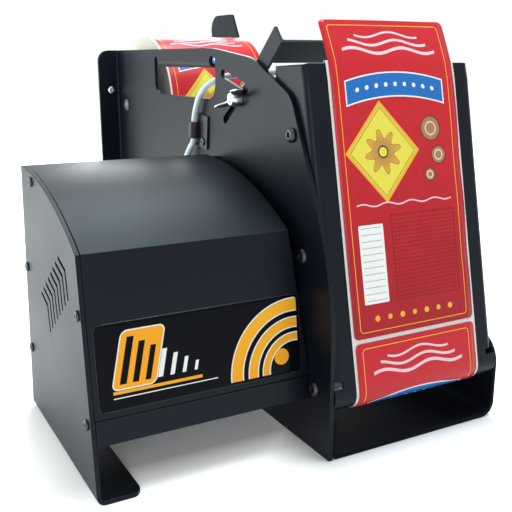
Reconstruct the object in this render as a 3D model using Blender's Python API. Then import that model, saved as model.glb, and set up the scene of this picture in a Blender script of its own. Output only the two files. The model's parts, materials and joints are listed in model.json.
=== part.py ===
# A tabletop label dispenser: a tall side plate that carries a roll of labels,
# a leaning plate that peels them, and a motor housing that pulls the liner.
# X runs across the machine, Y from front to back and Z up.
import math

import bmesh
import bpy
from mathutils import Vector

mm = 0.001

# Fits and fineness
gap = 0.3 * mm
running_gap = 0.3 * mm
overrun = 2 * mm
arc_error = 0.12 * mm
widest_step = math.radians(22.5)
round_steps = 24
screw_steps = 12
rod_steps = 16
leg_steps = 8
cord_sides = 2

# Machine frame
frame_sheet = 3.4 * mm
frame_bend = 2.6 * mm
frame_height = 304 * mm
frame_depth = 450 * mm
base_width = 168 * mm
wall_height = 72 * mm
wall_corner = 26 * mm
wall_bend = 9 * mm
base_lip = 32 * mm
rear_flange = 23 * mm
rear_corner = 12 * mm

# The side plate's front outline: depth share, height share and corner radius
frame_outline_shares = (
    (0, 0, 0),
    (0, 0.4605, 0.79),
    (0.1367, 0.8816, 0.075),
    (0.2711, 0.972, 0.2),
    (0.4333, 1, 0.9),
    (1, 1, 0),
    (1, 0, 0),
)

# Carry window
window_front = 189 * mm
window_back = 332 * mm
window_bottom = 260 * mm
window_bend = 293 * mm
window_corner = 13 * mm
notch_rise = 4 * mm
notch_front = 12 * mm
notch_back = 8 * mm
notch_corner = 3 * mm
flap_reach = 12 * mm

# Dog-leg slot and the sensor arm that slides in it
slot_width = 7 * mm
slot_apex = (130.5 * mm, 271.5 * mm)
slot_upper_end = (173.9 * mm, 282.5 * mm)
slot_lower_end = (170.3 * mm, 243.9 * mm)
stud_share = 0.32
stud_radius = 3 * mm
stud_head_radius = 7 * mm
stud_head_height = 2.4 * mm
stud_head_shares = ((1, 0), (0.8, 0.7), (0, 1))
stud_chamfer_share = 0.2
stud_reach = 9.5 * mm
arm_rise = math.radians(41.7)
arm_sheet = 2.5 * mm
arm_width = 15.6 * mm
arm_length = 75.2 * mm
arm_tail = 38 * mm
arm_bend = 1.5 * mm
arm_end_share = 0.3
bar_height = 23 * mm
bar_reach = 92 * mm
head_width = 16 * mm
head_depth = 18.6 * mm
head_height = 20 * mm
lens_radius = 3.5 * mm
lens_proud = 0.8 * mm

# Wing nut: its barrel and wings as shares of radius or reach, and of height
nut_radius = 5.2 * mm
nut_height = 8 * mm
nut_shares = ((1, 0), (1, 0.5), (0.8, 1))
wing_reach = 15.5 * mm
wing_height = 14 * mm
wing_sheet = 2.2 * mm
wing_shares = ((0.62, 0.17), (1, 0.29), (1, 1), (0.7, 0.96))
wing_root_shares = (0.15, 0.9)
wing_root_inset = 1.1 * mm
wing_tilt = math.radians(-25)

# Peel plate
plate_sheet = 2 * mm
plate_bend = 4 * mm
plate_width = 158.6 * mm
plate_top = 292.3 * mm
crease_height = 279 * mm
face_lean = math.radians(12)
top_lean = math.radians(16)
free_lean = math.radians(26)
curl_radius = 13 * mm
curl_centre = (11.3 * mm, 49.5 * mm)
curl_end = math.radians(-48)
side_back = 100 * mm
side_back_top = 90 * mm
side_shoulder = 200 * mm
side_bottom = 44 * mm
side_front = 12 * mm
relief_low = 57 * mm
relief_high = 62 * mm
relief_reach = 8 * mm
lip_extra = 2 * mm

# Web of liner and labels
liner_width = 122 * mm
liner_left = 22.5 * mm
liner_sheet = 0.3 * mm
label_width = 117.6 * mm
label_length = 241.3 * mm
label_pitch_gap = 3.2 * mm
label_start = 90 * mm
liner_tail = 26 * mm

# Roll and spindle
roll_radius = 75 * mm
core_radius = 38.1 * mm
core_wall = 3 * mm
spindle_inset = 32 * mm
spindle_height = 244 * mm
spindle_radius = 10 * mm
spindle_end = 186 * mm
hub_wall = 3.5 * mm
hub_boss = 14 * mm
hub_web = 4 * mm
collar_radius = 17 * mm
collar_length = 14 * mm
bolt_head_radius = 7.5 * mm
bolt_head_height = 3.6 * mm
bolt_dome_shares = ((0, 1), (0.55, 0.88), (0.9, 0.5), (1, 0))
bolt_radius = 4.7 * mm
bolt_depth = 22 * mm
bolt_room = 2 * mm
guide_sheet = 3 * mm
guide_collar = 20 * mm
guide_height = 103 * mm

# The roll guide's outline as shares of its height: back, up and corner radius
guide_outline_shares = (
    (0.835, 1, 0.17),
    (0.54, -0.12, 0.3),
    (0.21, -0.43, 0.25),
    (-0.21, -0.43, 0.25),
    (-0.39, -0.08, 0.3),
    (0.228, 1, 0.04),
)
thumb_radius = 8.5 * mm
thumb_height = 10 * mm
thumb_shares = ((0.55, 0), (0.55, 0.25), (1, 0.35), (1, 0.9), (0.86, 1), (0, 1))
thumb_stem = 2.7 * mm

# Drive and pinch rollers
drive_centre = (56 * mm, 112 * mm)
drive_radius = 14 * mm
shaft_radius = 5 * mm
roller_margin = 4.5 * mm
bush_radius = 8 * mm
bush_flange = 10.5 * mm
bush_lip = 1.8 * mm
shaft_reach = 24 * mm
shaft_chamfer = 0.75 * mm
pinch_radius = 9 * mm
pinch_journal = 3 * mm
pivot_centre = (87 * mm, 152 * mm)
pivot_radius = 4 * mm
pivot_head = 7 * mm
pinch_sheet = 3 * mm
pinch_link = 8 * mm
pinch_bar_height = 18 * mm
tab_width = 44 * mm
tab_height = 30 * mm
spring_wire = 1.3 * mm
spring_turns = 4
spring_points = 9

# Housing
housing_width = 172 * mm
end_sheet = 3.2 * mm
foot_front = 23.2 * mm
front_lean = math.radians(6.75)
hood_front = 171.7 * mm
hood_top = 213 * mm
hood_back = 187 * mm
hood_clearance = 11.5 * mm
hood_join = 68 * mm
foot_back = 208 * mm
foot_width = 33 * mm
foot_corner = 9 * mm
cover_sheet = 1.6 * mm
cover_bottom = 59.3 * mm
tray_height = 41 * mm
side_strip = 13 * mm
strip_top = 68 * mm
tray_strip_top = 62 * mm
tray_strip_back = 172 * mm
top_tab_front = 147 * mm
top_tab_back = 163 * mm
top_tab_drop = 20 * mm

# Vents: the knee of the first chevron and of the last, and the shape of a leg
vent_count = 8
vent_width = 2.8 * mm
vent_first = (71.4 * mm, 154.9 * mm)
vent_last = (128.7 * mm, 114 * mm)
vent_back_leg = (17.2 * mm, 5.5 * mm)
vent_down_leg = (-4 * mm, -20.3 * mm)

# Motor and belt
motor_centre = (118 * mm, 96 * mm)
gearbox_size = 62 * mm
gearbox_length = 30 * mm
gearbox_corner = 6 * mm
motor_radius = 26 * mm
motor_room = 15 * mm
motor_cap = 6 * mm
motor_end_shares = ((1, 0), (0.9, 0.3), (0.3, 0.3), (0.3, 1), (0, 1))
motor_shaft = 4 * mm
motor_shaft_hole = 6.4 * mm
drive_pulley_radius = 12 * mm
motor_pulley_radius = 9 * mm
pulley_rim = 1.8 * mm
pulley_side = 1.4 * mm
pulley_room = 2 * mm
belt_width = 9 * mm
belt_sheet = 1.6 * mm
belt_left = 19 * mm
bracket_sheet = 3 * mm
bracket_foot = 24 * mm

# Electrics
board_size = (72 * mm, 66 * mm)
board_corner = (56 * mm, 70 * mm)
board_sheet = 1.6 * mm
standoff = 9 * mm
standoff_radius = 3 * mm

# The board's components: place and width as shares of its depth
component_shares = ((0.3, 0.24), (0.62, 0.2), (0.85, 0.1))
component_heights = (16 * mm, 12 * mm, 18 * mm)
component_span_shares = (0.25, 0.6)
transformer_size = (44 * mm, 34 * mm, 36 * mm)
transformer_inset = 2.5 * mm
transformer_front = 141 * mm
coil_margin = 6 * mm
rear_row = 92 * mm
inlet_inset = 32 * mm
inlet_size = (27 * mm, 20 * mm, 22 * mm)
inlet_wall = 2.4 * mm
inlet_lip = 2.5 * mm
inlet_recess = 17 * mm
prong_reach = 10 * mm
prong_size = (2 * mm, 4 * mm)
prong_spread = 6.5 * mm
switch_inset = 68 * mm
switch_size = (15 * mm, 21 * mm, 16 * mm)
switch_lip = 2 * mm
switch_well = 12 * mm
rocker_pivot_depth = 3 * mm
rocker_reach = math.radians(35)
rocker_tilt = math.radians(12)
rocker_skirt = math.radians(16)
rocker_middle = 1 * mm
knob_inset = 100 * mm
knob_radius = 9 * mm
knob_height = 12 * mm
knob_shares = ((1, 0), (0.9, 0.9), (0.8, 1), (0, 1))
knob_bore = 9 * mm
knob_lift = 2 * mm
groove_width = 1.1 * mm
groove_depth = 0.7 * mm
pot_radius = 8 * mm
pot_depth = 10 * mm
pot_shaft = 3 * mm
gland_place = (-26 * mm, 150 * mm)
gland_radius = 8 * mm
gland_reach = 12 * mm
gland_shares = ((1, 0.4), (0.7, 1))
gland_nut = 2 * mm

# Sensor lead and its clip
cord_radius = 2.8 * mm
clip_centre = (224 * mm, 231.4 * mm)
clip_slant = math.radians(6)
clip_length = 15 * mm
clip_wall = 1.6 * mm
clip_tab = (15.5 * mm, 30 * mm)
clip_sheet = 1.6 * mm
cord_fit = 0.6 * mm
cord_step = 13 * mm
cord_lead_out = 12 * mm
clip_lead = 2 * mm
socket_lead = 7 * mm

# The lead's route behind the housing, and through the window to the sensor head
lead_behind = (
    (-22 * mm, 236 * mm, 166 * mm),
    (-10 * mm, 242 * mm, 194 * mm),
    (-5.6 * mm, 235 * mm, 212 * mm),
)
lead_ahead = (
    (-5 * mm, 214 * mm, 259 * mm),
    (-3.4 * mm, 204 * mm, 269 * mm),
    (2.5 * mm, 197 * mm, 275.5 * mm),
    (12 * mm, 186 * mm, 280 * mm),
    (26 * mm, 164 * mm, 283 * mm),
    (50 * mm, 135 * mm, 284 * mm),
    (76 * mm, 113 * mm, 286 * mm),
)

# Screws: head radius, head height, shank radius and socket radius
plate_screw = (5.6 * mm, 3.2 * mm, 2.9 * mm, 2 * mm)
small_screw = (4 * mm, 1.6 * mm, 1.9 * mm, 1.3 * mm)
plate_screw_places = ((58.8 * mm, 239.7 * mm), (40 * mm, 151.2 * mm), (20.6 * mm, 51.4 * mm))
base_screw_places = ((84.6 * mm, 18.2 * mm), (366 * mm, 18.2 * mm))
rear_screw_place = (-9.3 * mm, 259.7 * mm)
cover_screw_places = ((154.8 * mm, 204.4 * mm), (45.6 * mm, 130.1 * mm))
panel_screw_places = ((188.2 * mm, 130.3 * mm), (194 * mm, 58.4 * mm))
tray_screw_place = (38.1 * mm, 54.8 * mm)
clip_screw_drop = 9 * mm
socket_floor_share = 0.35
screw_crown_share = 0.7

# Places worked out from the sizes above
frame_inner = frame_sheet + gap
end_inner = gap - housing_width + end_sheet
board_left = end_inner + gap + standoff
board_right = board_left + board_sheet
inlet_place = (inlet_inset - housing_width, rear_row)
switch_place = (switch_inset - housing_width, rear_row)
knob_place = (knob_inset - housing_width, rear_row)
base_middle = ((frame_inner + base_width) / 2, frame_depth / 2)
spindle_centre = (frame_depth - spindle_inset, spindle_height)
plate_left = frame_inner
plate_right = frame_inner + plate_width
liner_right = liner_left + liner_width
label_left = liner_left + (liner_width - label_width) / 2
label_right = label_left + label_width
liner_middle = gap + liner_sheet / 2
label_middle = 2 * gap + liner_sheet + liner_sheet / 2
roller_left = liner_left - roller_margin
roller_right = liner_right + roller_margin
pinch_centre = (
    drive_centre[0] + drive_radius + 2 * gap + liner_sheet + pinch_radius,
    drive_centre[1],
)
guide_left = liner_right + gap
stud_centre = tuple(a + (b - a) * stud_share for a, b in zip(slot_apex, slot_lower_end))
stud_right = frame_inner + arm_sheet + gap


# Where local points (a, b, c) land in the machine
def across(a, b, c):
    return Vector((c, a, b))


def lengthwise(a, b, c):
    return Vector((a, c, b))


def upright(a, b, c):
    return Vector((a, b, c))


# A frame that leans back: a runs across, b inwards from the face and c up along it
def leaning(lean, start):
    def place(a, b, c):
        back = start[0] + b * math.cos(lean) + c * math.sin(lean)
        up = start[1] - b * math.sin(lean) + c * math.cos(lean)
        return Vector((a, back, up))
    return place


# A frame square to the rear panel: a runs across, b up along it and c outwards
def on_rear_panel(x, height):
    lean = math.atan2(foot_back - hood_back, hood_top)

    def place(a, b, c):
        rise = b * math.cos(lean) + c * math.sin(lean)
        back = rear_edge(height) - b * math.sin(lean) + c * math.cos(lean)
        return Vector((x + a, back, height + rise))
    return place


# A frame on the sensor arm: a runs along it from the stud, b across it, c along X
def on_arm(a, b, c):
    back = stud_centre[0] - a * math.cos(arm_rise) + b * math.sin(arm_rise)
    up = stud_centre[1] + a * math.sin(arm_rise) + b * math.cos(arm_rise)
    return Vector((c, back, up))


# A round piece's frame: a and b square to the axis, c along X from the centre
def round_along_x(centre):
    def place(a, b, c):
        return Vector((c, centre[0] + a, centre[1] + b))
    return place


def front_edge(height):
    return foot_front + height * math.tan(front_lean)


def rear_edge(height):
    return foot_back - height * (foot_back - hood_back) / hood_top


def on_circle(centre, radius, angle):
    return (centre[0] + radius * math.cos(angle), centre[1] + radius * math.sin(angle))


# Points of an arc, both ends included, close enough to stay true to the curve
def arc(centre, radius, start, end):
    step = min(widest_step, 2 * math.acos(max(0, 1 - arc_error / radius)))
    steps = max(1, math.ceil(round(abs(end - start) / step, 6)))
    return [on_circle(centre, radius, start + (end - start) * i / steps) for i in range(steps + 1)]


def circle(centre, radius, steps=round_steps):
    return [on_circle(centre, radius, 2 * math.pi * i / steps) for i in range(steps)]


# Points of a profile from shares of a radius and a height
def scaled(shares, radius, height, base=0):
    return [(radius * out, base + height * up) for out, up in shares]


# One corner of an outline, rounded to a radius
def round_corner(before, corner, after, radius):
    if radius == 0:
        return [tuple(corner)]
    back = (before - corner).normalized()
    ahead = (after - corner).normalized()
    half = back.angle(ahead) / 2
    reach = radius / math.tan(half)
    centre = corner + (back + ahead).normalized() * radius / math.sin(half)
    first = corner + back * reach - centre
    last = corner + ahead * reach - centre
    start = math.atan2(first.y, first.x)
    turn = math.remainder(math.atan2(last.y, last.x) - start, 2 * math.pi)
    return arc(centre, radius, start, start + turn)


# An outline from corners (a, b, radius)
def rounded(corners):
    corners = list(corners)
    points = []
    for i, corner in enumerate(corners):
        before = Vector(corners[i - 1][:2])
        after = Vector(corners[(i + 1) % len(corners)][:2])
        points += round_corner(before, Vector(corner[:2]), after, corner[2])
    return points


def rectangle(low, high, radius=0):
    corners = [(low[0], low[1]), (high[0], low[1]), (high[0], high[1]), (low[0], high[1])]
    return rounded([(a, b, radius) for a, b in corners])


# A slot's outline between two centres
def stadium(first, last, radius):
    angle = math.atan2(last[1] - first[1], last[0] - first[0])
    quarter = math.pi / 2
    far = arc(last, radius, angle - quarter, angle + quarter)
    near = arc(first, radius, angle + quarter, angle + 3 * quarter)
    return far + near


# A line moved sideways, to its left where the distance is positive
def moved_line(points, distance):
    line = [Vector(p) for p in points]
    ways = [(b - a).normalized() for a, b in zip(line, line[1:])]
    moved = []
    for i, point in enumerate(line):
        before = ways[max(i - 1, 0)]
        after = ways[min(i, len(ways) - 1)]
        side = Vector((-before.y - after.y, before.x + after.x)).normalized()
        stretch = side.dot(Vector((-after.y, after.x)))
        moved.append(tuple(point + side * distance / stretch))
    return moved


# The outline of sheet stock that follows a line, thickened to its left
def sheet_outline(points, thickness):
    return list(points) + moved_line(points, thickness)[::-1]


# The outline of a strip centred on a line
def strip_outline(points, thickness):
    return moved_line(points, thickness / 2) + moved_line(points, -thickness / 2)[::-1]


# A line pulled taut round circles that all lie on its right: (centre, radius)
def taut_line(circles, offset, start_wrap, end_wrap):
    normals = []
    for (first, r1), (last, r2) in zip(circles, circles[1:]):
        way = Vector(last) - Vector(first)
        lean = math.acos((r1 - r2) / way.length)
        normals.append(math.atan2(way.y, way.x) + lean)
    normals = [normals[0] + start_wrap] + normals + [normals[-1] - end_wrap]
    points = []
    for i, (centre, radius) in enumerate(circles):
        turn = math.remainder(normals[i + 1] - normals[i], 2 * math.pi)
        points += arc(centre, radius + offset, normals[i], normals[i] + turn)
    return [b for a, b in zip([None] + points, points) if a is None or (Vector(a) - Vector(b)).length > 0]


# The part of a line between two lengths measured along it
def stretch_of(points, start, end):
    kept = []
    done = 0
    for first, last in zip(points, points[1:]):
        first, last = Vector(first), Vector(last)
        length = (last - first).length
        for edge in (start, end):
            if done < edge < done + length:
                kept.append((edge, tuple(first.lerp(last, (edge - done) / length))))
        if start <= done <= end:
            kept.append((done, tuple(first)))
        done += length
    if done <= end:
        kept.append((done, tuple(points[-1])))
    return [point for length, point in sorted(kept)]


# A closed shape from rings of points, capped at the first and the last
def lofted(rings):
    shape = bmesh.new()
    rings = [[shape.verts.new(point) for point in ring] for ring in rings]
    shape.faces.new(rings[0])
    shape.faces.new(rings[-1][::-1])
    for near, far in zip(rings, rings[1:]):
        for i in range(len(near)):
            j = (i + 1) % len(near)
            shape.faces.new((near[i], far[i], far[j], near[j]))
    bmesh.ops.recalc_face_normals(shape, faces=shape.faces)
    return shape


# A closed shape from an outline, between two distances along its frame's third axis
def prism(outline, low, high, place=across):
    return lofted([[place(a, b, c) for a, b in outline] for c in (low, high)])


def box(low, high, place=upright):
    return prism(rectangle(low[:2], high[:2]), low[2], high[2], place)


# A closed shape turned from a loop of (radius, distance along the axis)
def turned(profile, place, steps=round_steps):
    shape = bmesh.new()
    rings = []
    for radius, along in profile:
        count = steps if radius > 0 else 1
        rings.append([shape.verts.new(place(*on_circle((0, 0), radius, 2 * math.pi * i / steps), along))
                      for i in range(count)])
    for ring, following in zip(rings, rings[1:] + rings[:1]):
        for i in range(steps):
            j = (i + 1) % steps
            corners = [ring[i % len(ring)], ring[j % len(ring)]]
            corners += [following[j % len(following)], following[i % len(following)]]
            corners = list(dict.fromkeys(corners))
            if len(corners) > 2:
                shape.faces.new(corners)
    bmesh.ops.recalc_face_normals(shape, faces=shape.faces)
    return shape


# Several shapes in one mesh, for cutters
def joined(*shapes):
    mesh = bpy.data.meshes.new("joined")
    whole = bmesh.new()
    for shape in shapes:
        shape.to_mesh(mesh)
        shape.free()
        whole.from_mesh(mesh)
    bpy.data.meshes.remove(mesh)
    return whole


def finish(name, colour, roughness, metallic=0):
    material = bpy.data.materials.new(name)
    material.use_nodes = True
    shader = material.node_tree.nodes["Principled BSDF"]
    shader.inputs["Base Color"].default_value = (*colour, 1)
    shader.inputs["Roughness"].default_value = roughness
    shader.inputs["Metallic"].default_value = metallic
    return material


# A named object whose origin lies at its pivot
def piece(name, shape, material, pivot=(0, 0, 0)):
    bmesh.ops.translate(shape, verts=shape.verts, vec=-Vector(pivot))
    mesh = bpy.data.meshes.new(name)
    shape.to_mesh(mesh)
    shape.free()
    mesh.materials.append(material)
    mesh.shade_smooth()
    mesh.set_sharp_from_angle(angle=math.radians(32))
    thing = bpy.data.objects.new(name, mesh)
    thing.location = pivot
    thing.parent = machine
    bpy.context.collection.objects.link(thing)
    return thing


# Cut, add or keep the overlap with a helper shape, which stays out of the model
def shaped(thing, shape, operation="DIFFERENCE"):
    thing.data.shade_flat()
    helper = piece(thing.name + "_helper", shape, thing.data.materials[0])
    helper.data.shade_flat()
    helper.hide_render = True
    helper.display_type = "WIRE"
    change = thing.modifiers.new(operation.title(), "BOOLEAN")
    change.object = helper
    change.operation = operation
    return thing


def hole(centre, radius, low, high, steps=round_steps):
    return prism(circle(centre, radius, steps), low - overrun, high + overrun)


# A screw's frame: it points inwards along a direction from its head's seat
def screw_shape(size, length, place):
    head, height, shank, socket = size
    floor = height * socket_floor_share
    crown = [(0, floor), (socket, floor), (socket, height), (head * screw_crown_share, height)]
    profile = crown + [(head, 0), (shank, 0), (shank, -length), (0, -length)]
    return turned(profile, place, screw_steps)


def leftward(x, centre):
    def place(a, b, c):
        return Vector((x - c, centre[0] + a, centre[1] + b))
    return place


# The side plate with its rear flange, window, flap and dog-leg slot
def side_plate_profile():
    outer = frame_sheet + frame_bend
    corners = [(0, -overrun, 0), (frame_sheet, -overrun, 0), (frame_sheet, frame_depth, outer)]
    corners += [(-rear_flange, frame_depth, 0), (-rear_flange, frame_depth - frame_sheet, 0)]
    corners += [(0, frame_depth - frame_sheet, frame_bend)]
    return rounded(corners)


def side_plate_outline():
    corners = []
    for depth, height, radius in frame_outline_shares:
        past = overrun if depth == 1 else 0
        corners.append((depth * frame_depth + past, height * frame_height, radius * frame_height))
    return rounded(corners)


def window_outline():
    top = window_bend + notch_rise
    corners = [
        (window_front, window_bottom, window_corner),
        (window_back, window_bottom, window_corner),
        (window_back, top, notch_corner),
        (window_back - notch_back, top, notch_corner),
        (window_back - notch_back, window_bend, 0),
        (window_front + notch_front, window_bend, 0),
        (window_front + notch_front, top, notch_corner),
        (window_front, top, notch_corner),
    ]
    return rounded(corners)


def window_flap():
    bottom = window_bend - frame_sheet - frame_bend
    shelf = bottom + frame_sheet
    high = window_bend + notch_rise
    corners = [
        (0, high, 0),
        (0, bottom, frame_sheet + frame_bend),
        (flap_reach, bottom, 0),
        (flap_reach, shelf, 0),
        (frame_sheet, shelf, frame_bend),
        (frame_sheet, high, 0),
    ]
    low_side = window_front + notch_front + gap
    high_side = window_back - notch_back - gap
    return prism(rounded(corners), low_side, high_side, lengthwise)


def make_side_plate(material):
    profile = side_plate_profile()
    plate = piece("main_side_plate", prism(profile, 0, frame_height + overrun, upright), material)
    reach = (-rear_flange - overrun, frame_sheet + overrun)
    shaped(plate, prism(side_plate_outline(), *reach), "INTERSECT")
    high = frame_height + 2 * overrun
    centre = (rear_corner - rear_flange, frame_height - rear_corner)
    rim = [(-rear_flange, -overrun), (frame_sheet + overrun, -overrun), (frame_sheet + overrun, high)]
    rim += [(centre[0], high)] + arc(centre, rear_corner, math.pi / 2, math.pi)
    shaped(plate, prism(rim, -overrun, frame_depth + overrun, lengthwise), "INTERSECT")
    shaped(plate, prism(window_outline(), -overrun, frame_sheet + overrun))
    shaped(plate, window_flap(), "UNION")
    half = slot_width / 2
    for end in (slot_upper_end, slot_lower_end):
        shaped(plate, prism(stadium(slot_apex, end, half), -overrun, frame_sheet + overrun))
    holes = [hole(spindle_centre, bolt_radius + gap, 0, frame_sheet)]
    holes += [hole(drive_centre, bush_radius + gap, 0, frame_sheet)]
    for place in plate_screw_places:
        holes.append(hole(place, plate_screw[2] + gap, 0, frame_sheet, screw_steps))
    for place in base_screw_places:
        holes.append(hole(place, small_screw[2] + gap, 0, frame_sheet, screw_steps))
    holes.append(hole(clip_screw_centre(), small_screw[2] + gap, 0, frame_sheet, screw_steps))
    rear_hole = circle(rear_screw_place, small_screw[2] + gap, screw_steps)
    low = frame_depth - frame_sheet - overrun
    holes.append(prism(rear_hole, low, frame_depth + overrun, lengthwise))
    shaped(plate, joined(*holes))


# The channel that the machine stands on
def make_base(material):
    outer = frame_sheet + wall_bend
    inner_left = frame_inner + frame_sheet
    corners = [
        (frame_inner, base_lip, 0),
        (frame_inner, 0, frame_sheet),
        (base_width, 0, outer),
        (base_width, wall_height, 0),
        (base_width - frame_sheet, wall_height, 0),
        (base_width - frame_sheet, frame_sheet, wall_bend),
        (inner_left, frame_sheet, frame_bend),
        (inner_left, base_lip, 0),
    ]
    base = piece("base_channel", prism(rounded(corners), 0, frame_depth, lengthwise), material)
    side = [
        (0, -overrun, 0),
        (0, wall_height, wall_corner),
        (frame_depth, wall_height, wall_corner),
        (frame_depth, -overrun, 0),
    ]
    shaped(base, prism(rounded(side), 0, base_width + overrun), "INTERSECT")
    holes = []
    for place in base_screw_places:
        holes.append(hole(place, small_screw[2] + gap, frame_inner, inner_left, screw_steps))
    shaped(base, joined(*holes))


# The hood's curve, level where it ends at the back
def hood_radius():
    rise = hood_top - hood_front
    run = hood_back - front_edge(hood_front)
    return (rise * rise + run * run) / (2 * rise)


def hood_arc(front, back, inset):
    radius = hood_radius()
    start, end = [math.acos((place - hood_back) / radius) for place in (front, back)]
    return arc((hood_back, hood_top - radius), radius - inset, start, end)


def hood_line():
    return hood_arc(front_edge(hood_front), hood_back, 0)


def vent_outline(share):
    knee = [a + (b - a) * share for a, b in zip(vent_first, vent_last)]
    back = (knee[0] + vent_back_leg[0], knee[1] + vent_back_leg[1])
    down = (knee[0] + vent_down_leg[0], knee[1] + vent_down_leg[1])
    return strip_outline([back, tuple(knee), down], vent_width)


def make_end_plate(material):
    outer = end_sheet + frame_bend
    left = -housing_width
    corners = [
        (left, hood_top + overrun, 0),
        (left, 0, outer),
        (left + foot_width, 0, 0),
        (left + foot_width, end_sheet, 0),
        (left + end_sheet, end_sheet, frame_bend),
        (left + end_sheet, hood_top + overrun, 0),
    ]
    plate = piece("end_plate", prism(rounded(corners), 0, foot_back, lengthwise), material)
    outline = [(foot_front, 0)] + hood_line() + [(foot_back, 0)]
    below = [(foot_back, -overrun), (foot_front, -overrun)]
    reach = (left - overrun, left + foot_width + overrun)
    shaped(plate, prism(outline + below, *reach), "INTERSECT")
    foot = [
        (left - overrun, foot_front - overrun, 0),
        (left + foot_width, foot_front, foot_corner),
        (left + foot_width, foot_back, foot_corner),
        (left - overrun, foot_back + overrun, 0),
    ]
    shaped(plate, prism(rounded(foot), -overrun, hood_top + 2 * overrun, upright), "INTERSECT")
    vents = []
    for i in range(vent_count):
        outline = vent_outline(i / (vent_count - 1))
        vents.append(prism(outline, left - overrun, left + end_sheet + overrun))
    shaped(plate, joined(*vents))
    holes = []
    for place in end_screw_places():
        holes.append(hole(place, small_screw[2] + gap, left, left + end_sheet, screw_steps))
    shaped(plate, joined(*holes))


def end_screw_places():
    return cover_screw_places + panel_screw_places + (tray_screw_place,)


def strip_hole(place):
    return hole(place, small_screw[2] + gap, end_inner, end_inner + cover_sheet, screw_steps)


# The cover's front and curved top, with the side strip and tab that its screws hold
def make_cover(material):
    line = [(front_edge(cover_bottom), cover_bottom)] + hood_line()
    sheet = sheet_outline(line, -cover_sheet)
    cover = piece("housing_cover", prism(sheet, end_inner, -gap), material)
    top = hood_front - cover_sheet
    strip = [
        (front_edge(strip_top) + cover_sheet / 2, strip_top),
        (front_edge(top) + cover_sheet / 2, top),
        (front_edge(top) + side_strip, top),
        (front_edge(strip_top) + side_strip, strip_top),
    ]
    shaped(cover, prism(strip, end_inner, end_inner + cover_sheet), "UNION")
    tab = hood_arc(top_tab_front, top_tab_back, cover_sheet / 2)
    tab += [(tab[-1][0], hood_top - top_tab_drop), (tab[0][0], hood_top - top_tab_drop)]
    shaped(cover, prism(tab, end_inner, end_inner + cover_sheet), "UNION")
    beyond = hood_top + overrun
    trim = [(overrun, hood_join), (overrun, beyond), (-hood_clearance, beyond)]
    trim += [(-hood_clearance, hood_front), (-gap, hood_join)]
    shaped(cover, prism(trim, 0, foot_back, lengthwise))
    shaped(cover, joined(*[strip_hole(place) for place in cover_screw_places]))


def make_tray(material):
    lip_top = cover_bottom - 2 * gap
    back = rear_edge(tray_height)
    line = [(front_edge(lip_top), lip_top), (front_edge(tray_height), tray_height), (back, tray_height)]
    tray = piece("housing_tray", prism(sheet_outline(line, cover_sheet), end_inner, -gap), material)
    low = tray_height + cover_sheet / 2
    strip = [
        (front_edge(low) + cover_sheet / 2, low),
        (front_edge(lip_top) + cover_sheet / 2, lip_top - cover_sheet),
        (front_edge(tray_strip_top) + 2 * cover_sheet, lip_top - cover_sheet),
        (front_edge(tray_strip_top) + 2 * cover_sheet, tray_strip_top),
        (tray_strip_back, tray_strip_top),
        (tray_strip_back, low),
    ]
    shaped(tray, prism(strip, end_inner, end_inner + cover_sheet), "UNION")
    shaped(tray, strip_hole(tray_screw_place))


# The rear panel, cut for the inlet, switch, knob and gland
def make_rear_panel(material):
    low = tray_height + cover_sheet + gap
    high = hood_top - cover_sheet - 2 * gap
    line = [(rear_edge(high), high), (rear_edge(low), low)]
    panel = piece("rear_panel", prism(sheet_outline(line, -cover_sheet), end_inner, -gap), material)
    strip = [
        (rear_edge(low) - cover_sheet / 2, low),
        (rear_edge(high) - cover_sheet / 2, high),
        (rear_edge(high) - side_strip, high),
        (rear_edge(low) - side_strip, low),
    ]
    shaped(panel, prism(strip, end_inner, end_inner + cover_sheet), "UNION")
    cuts = [strip_hole(place) for place in panel_screw_places]
    for (x, height), size in ((inlet_place, inlet_size), (switch_place, switch_size)):
        half = (size[0] / 2 + gap, size[1] / 2 + gap)
        opening = rectangle((-half[0], -half[1]), half)
        cuts.append(prism(opening, -cover_sheet - overrun, overrun, on_rear_panel(x, height)))
    for (x, height), radius in ((knob_place, pot_shaft), (gland_place, gland_radius - cover_sheet)):
        opening = circle((0, 0), radius + gap)
        cuts.append(prism(opening, -cover_sheet - overrun, overrun, on_rear_panel(x, height)))
    shaped(panel, joined(*cuts))


# Where the peel plate's flat face starts above the curl, and where it is creased
def face_start():
    return on_circle(curl_centre, curl_radius, math.pi - face_lean)


def crease_rise():
    return (crease_height - face_start()[1]) / math.cos(face_lean)


def lower_face():
    return leaning(face_lean, face_start())


def crease_point():
    corner = lower_face()(0, 0, crease_rise())
    return (corner.y, corner.z)


def upper_face():
    return leaning(top_lean, crease_point())


def top_rise():
    return (plate_top - crease_height) / math.cos(top_lean)


def plate_section(reach):
    outer = plate_sheet + plate_bend
    left, right = plate_left, plate_right
    inner = (left + plate_sheet, right - plate_sheet)
    corners = [
        (left, reach, 0),
        (left, 0, outer),
        (right, 0, outer),
        (right, reach, 0),
        (inner[1], reach, 0),
        (inner[1], plate_sheet, plate_bend),
        (inner[0], plate_sheet, plate_bend),
        (inner[0], reach, 0),
    ]
    return rounded(corners)


# The plate's sides are cut level with the inner corner of its top edge
def plate_side_outline():
    ahead = -side_back
    level = plate_top - plate_sheet * math.sin(top_lean)
    return [
        (ahead, side_bottom),
        (side_back, side_bottom),
        (side_back, side_shoulder - (side_back - side_back_top)),
        (side_back_top, side_shoulder),
        (side_back_top, level),
        (ahead, level),
    ]


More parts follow.
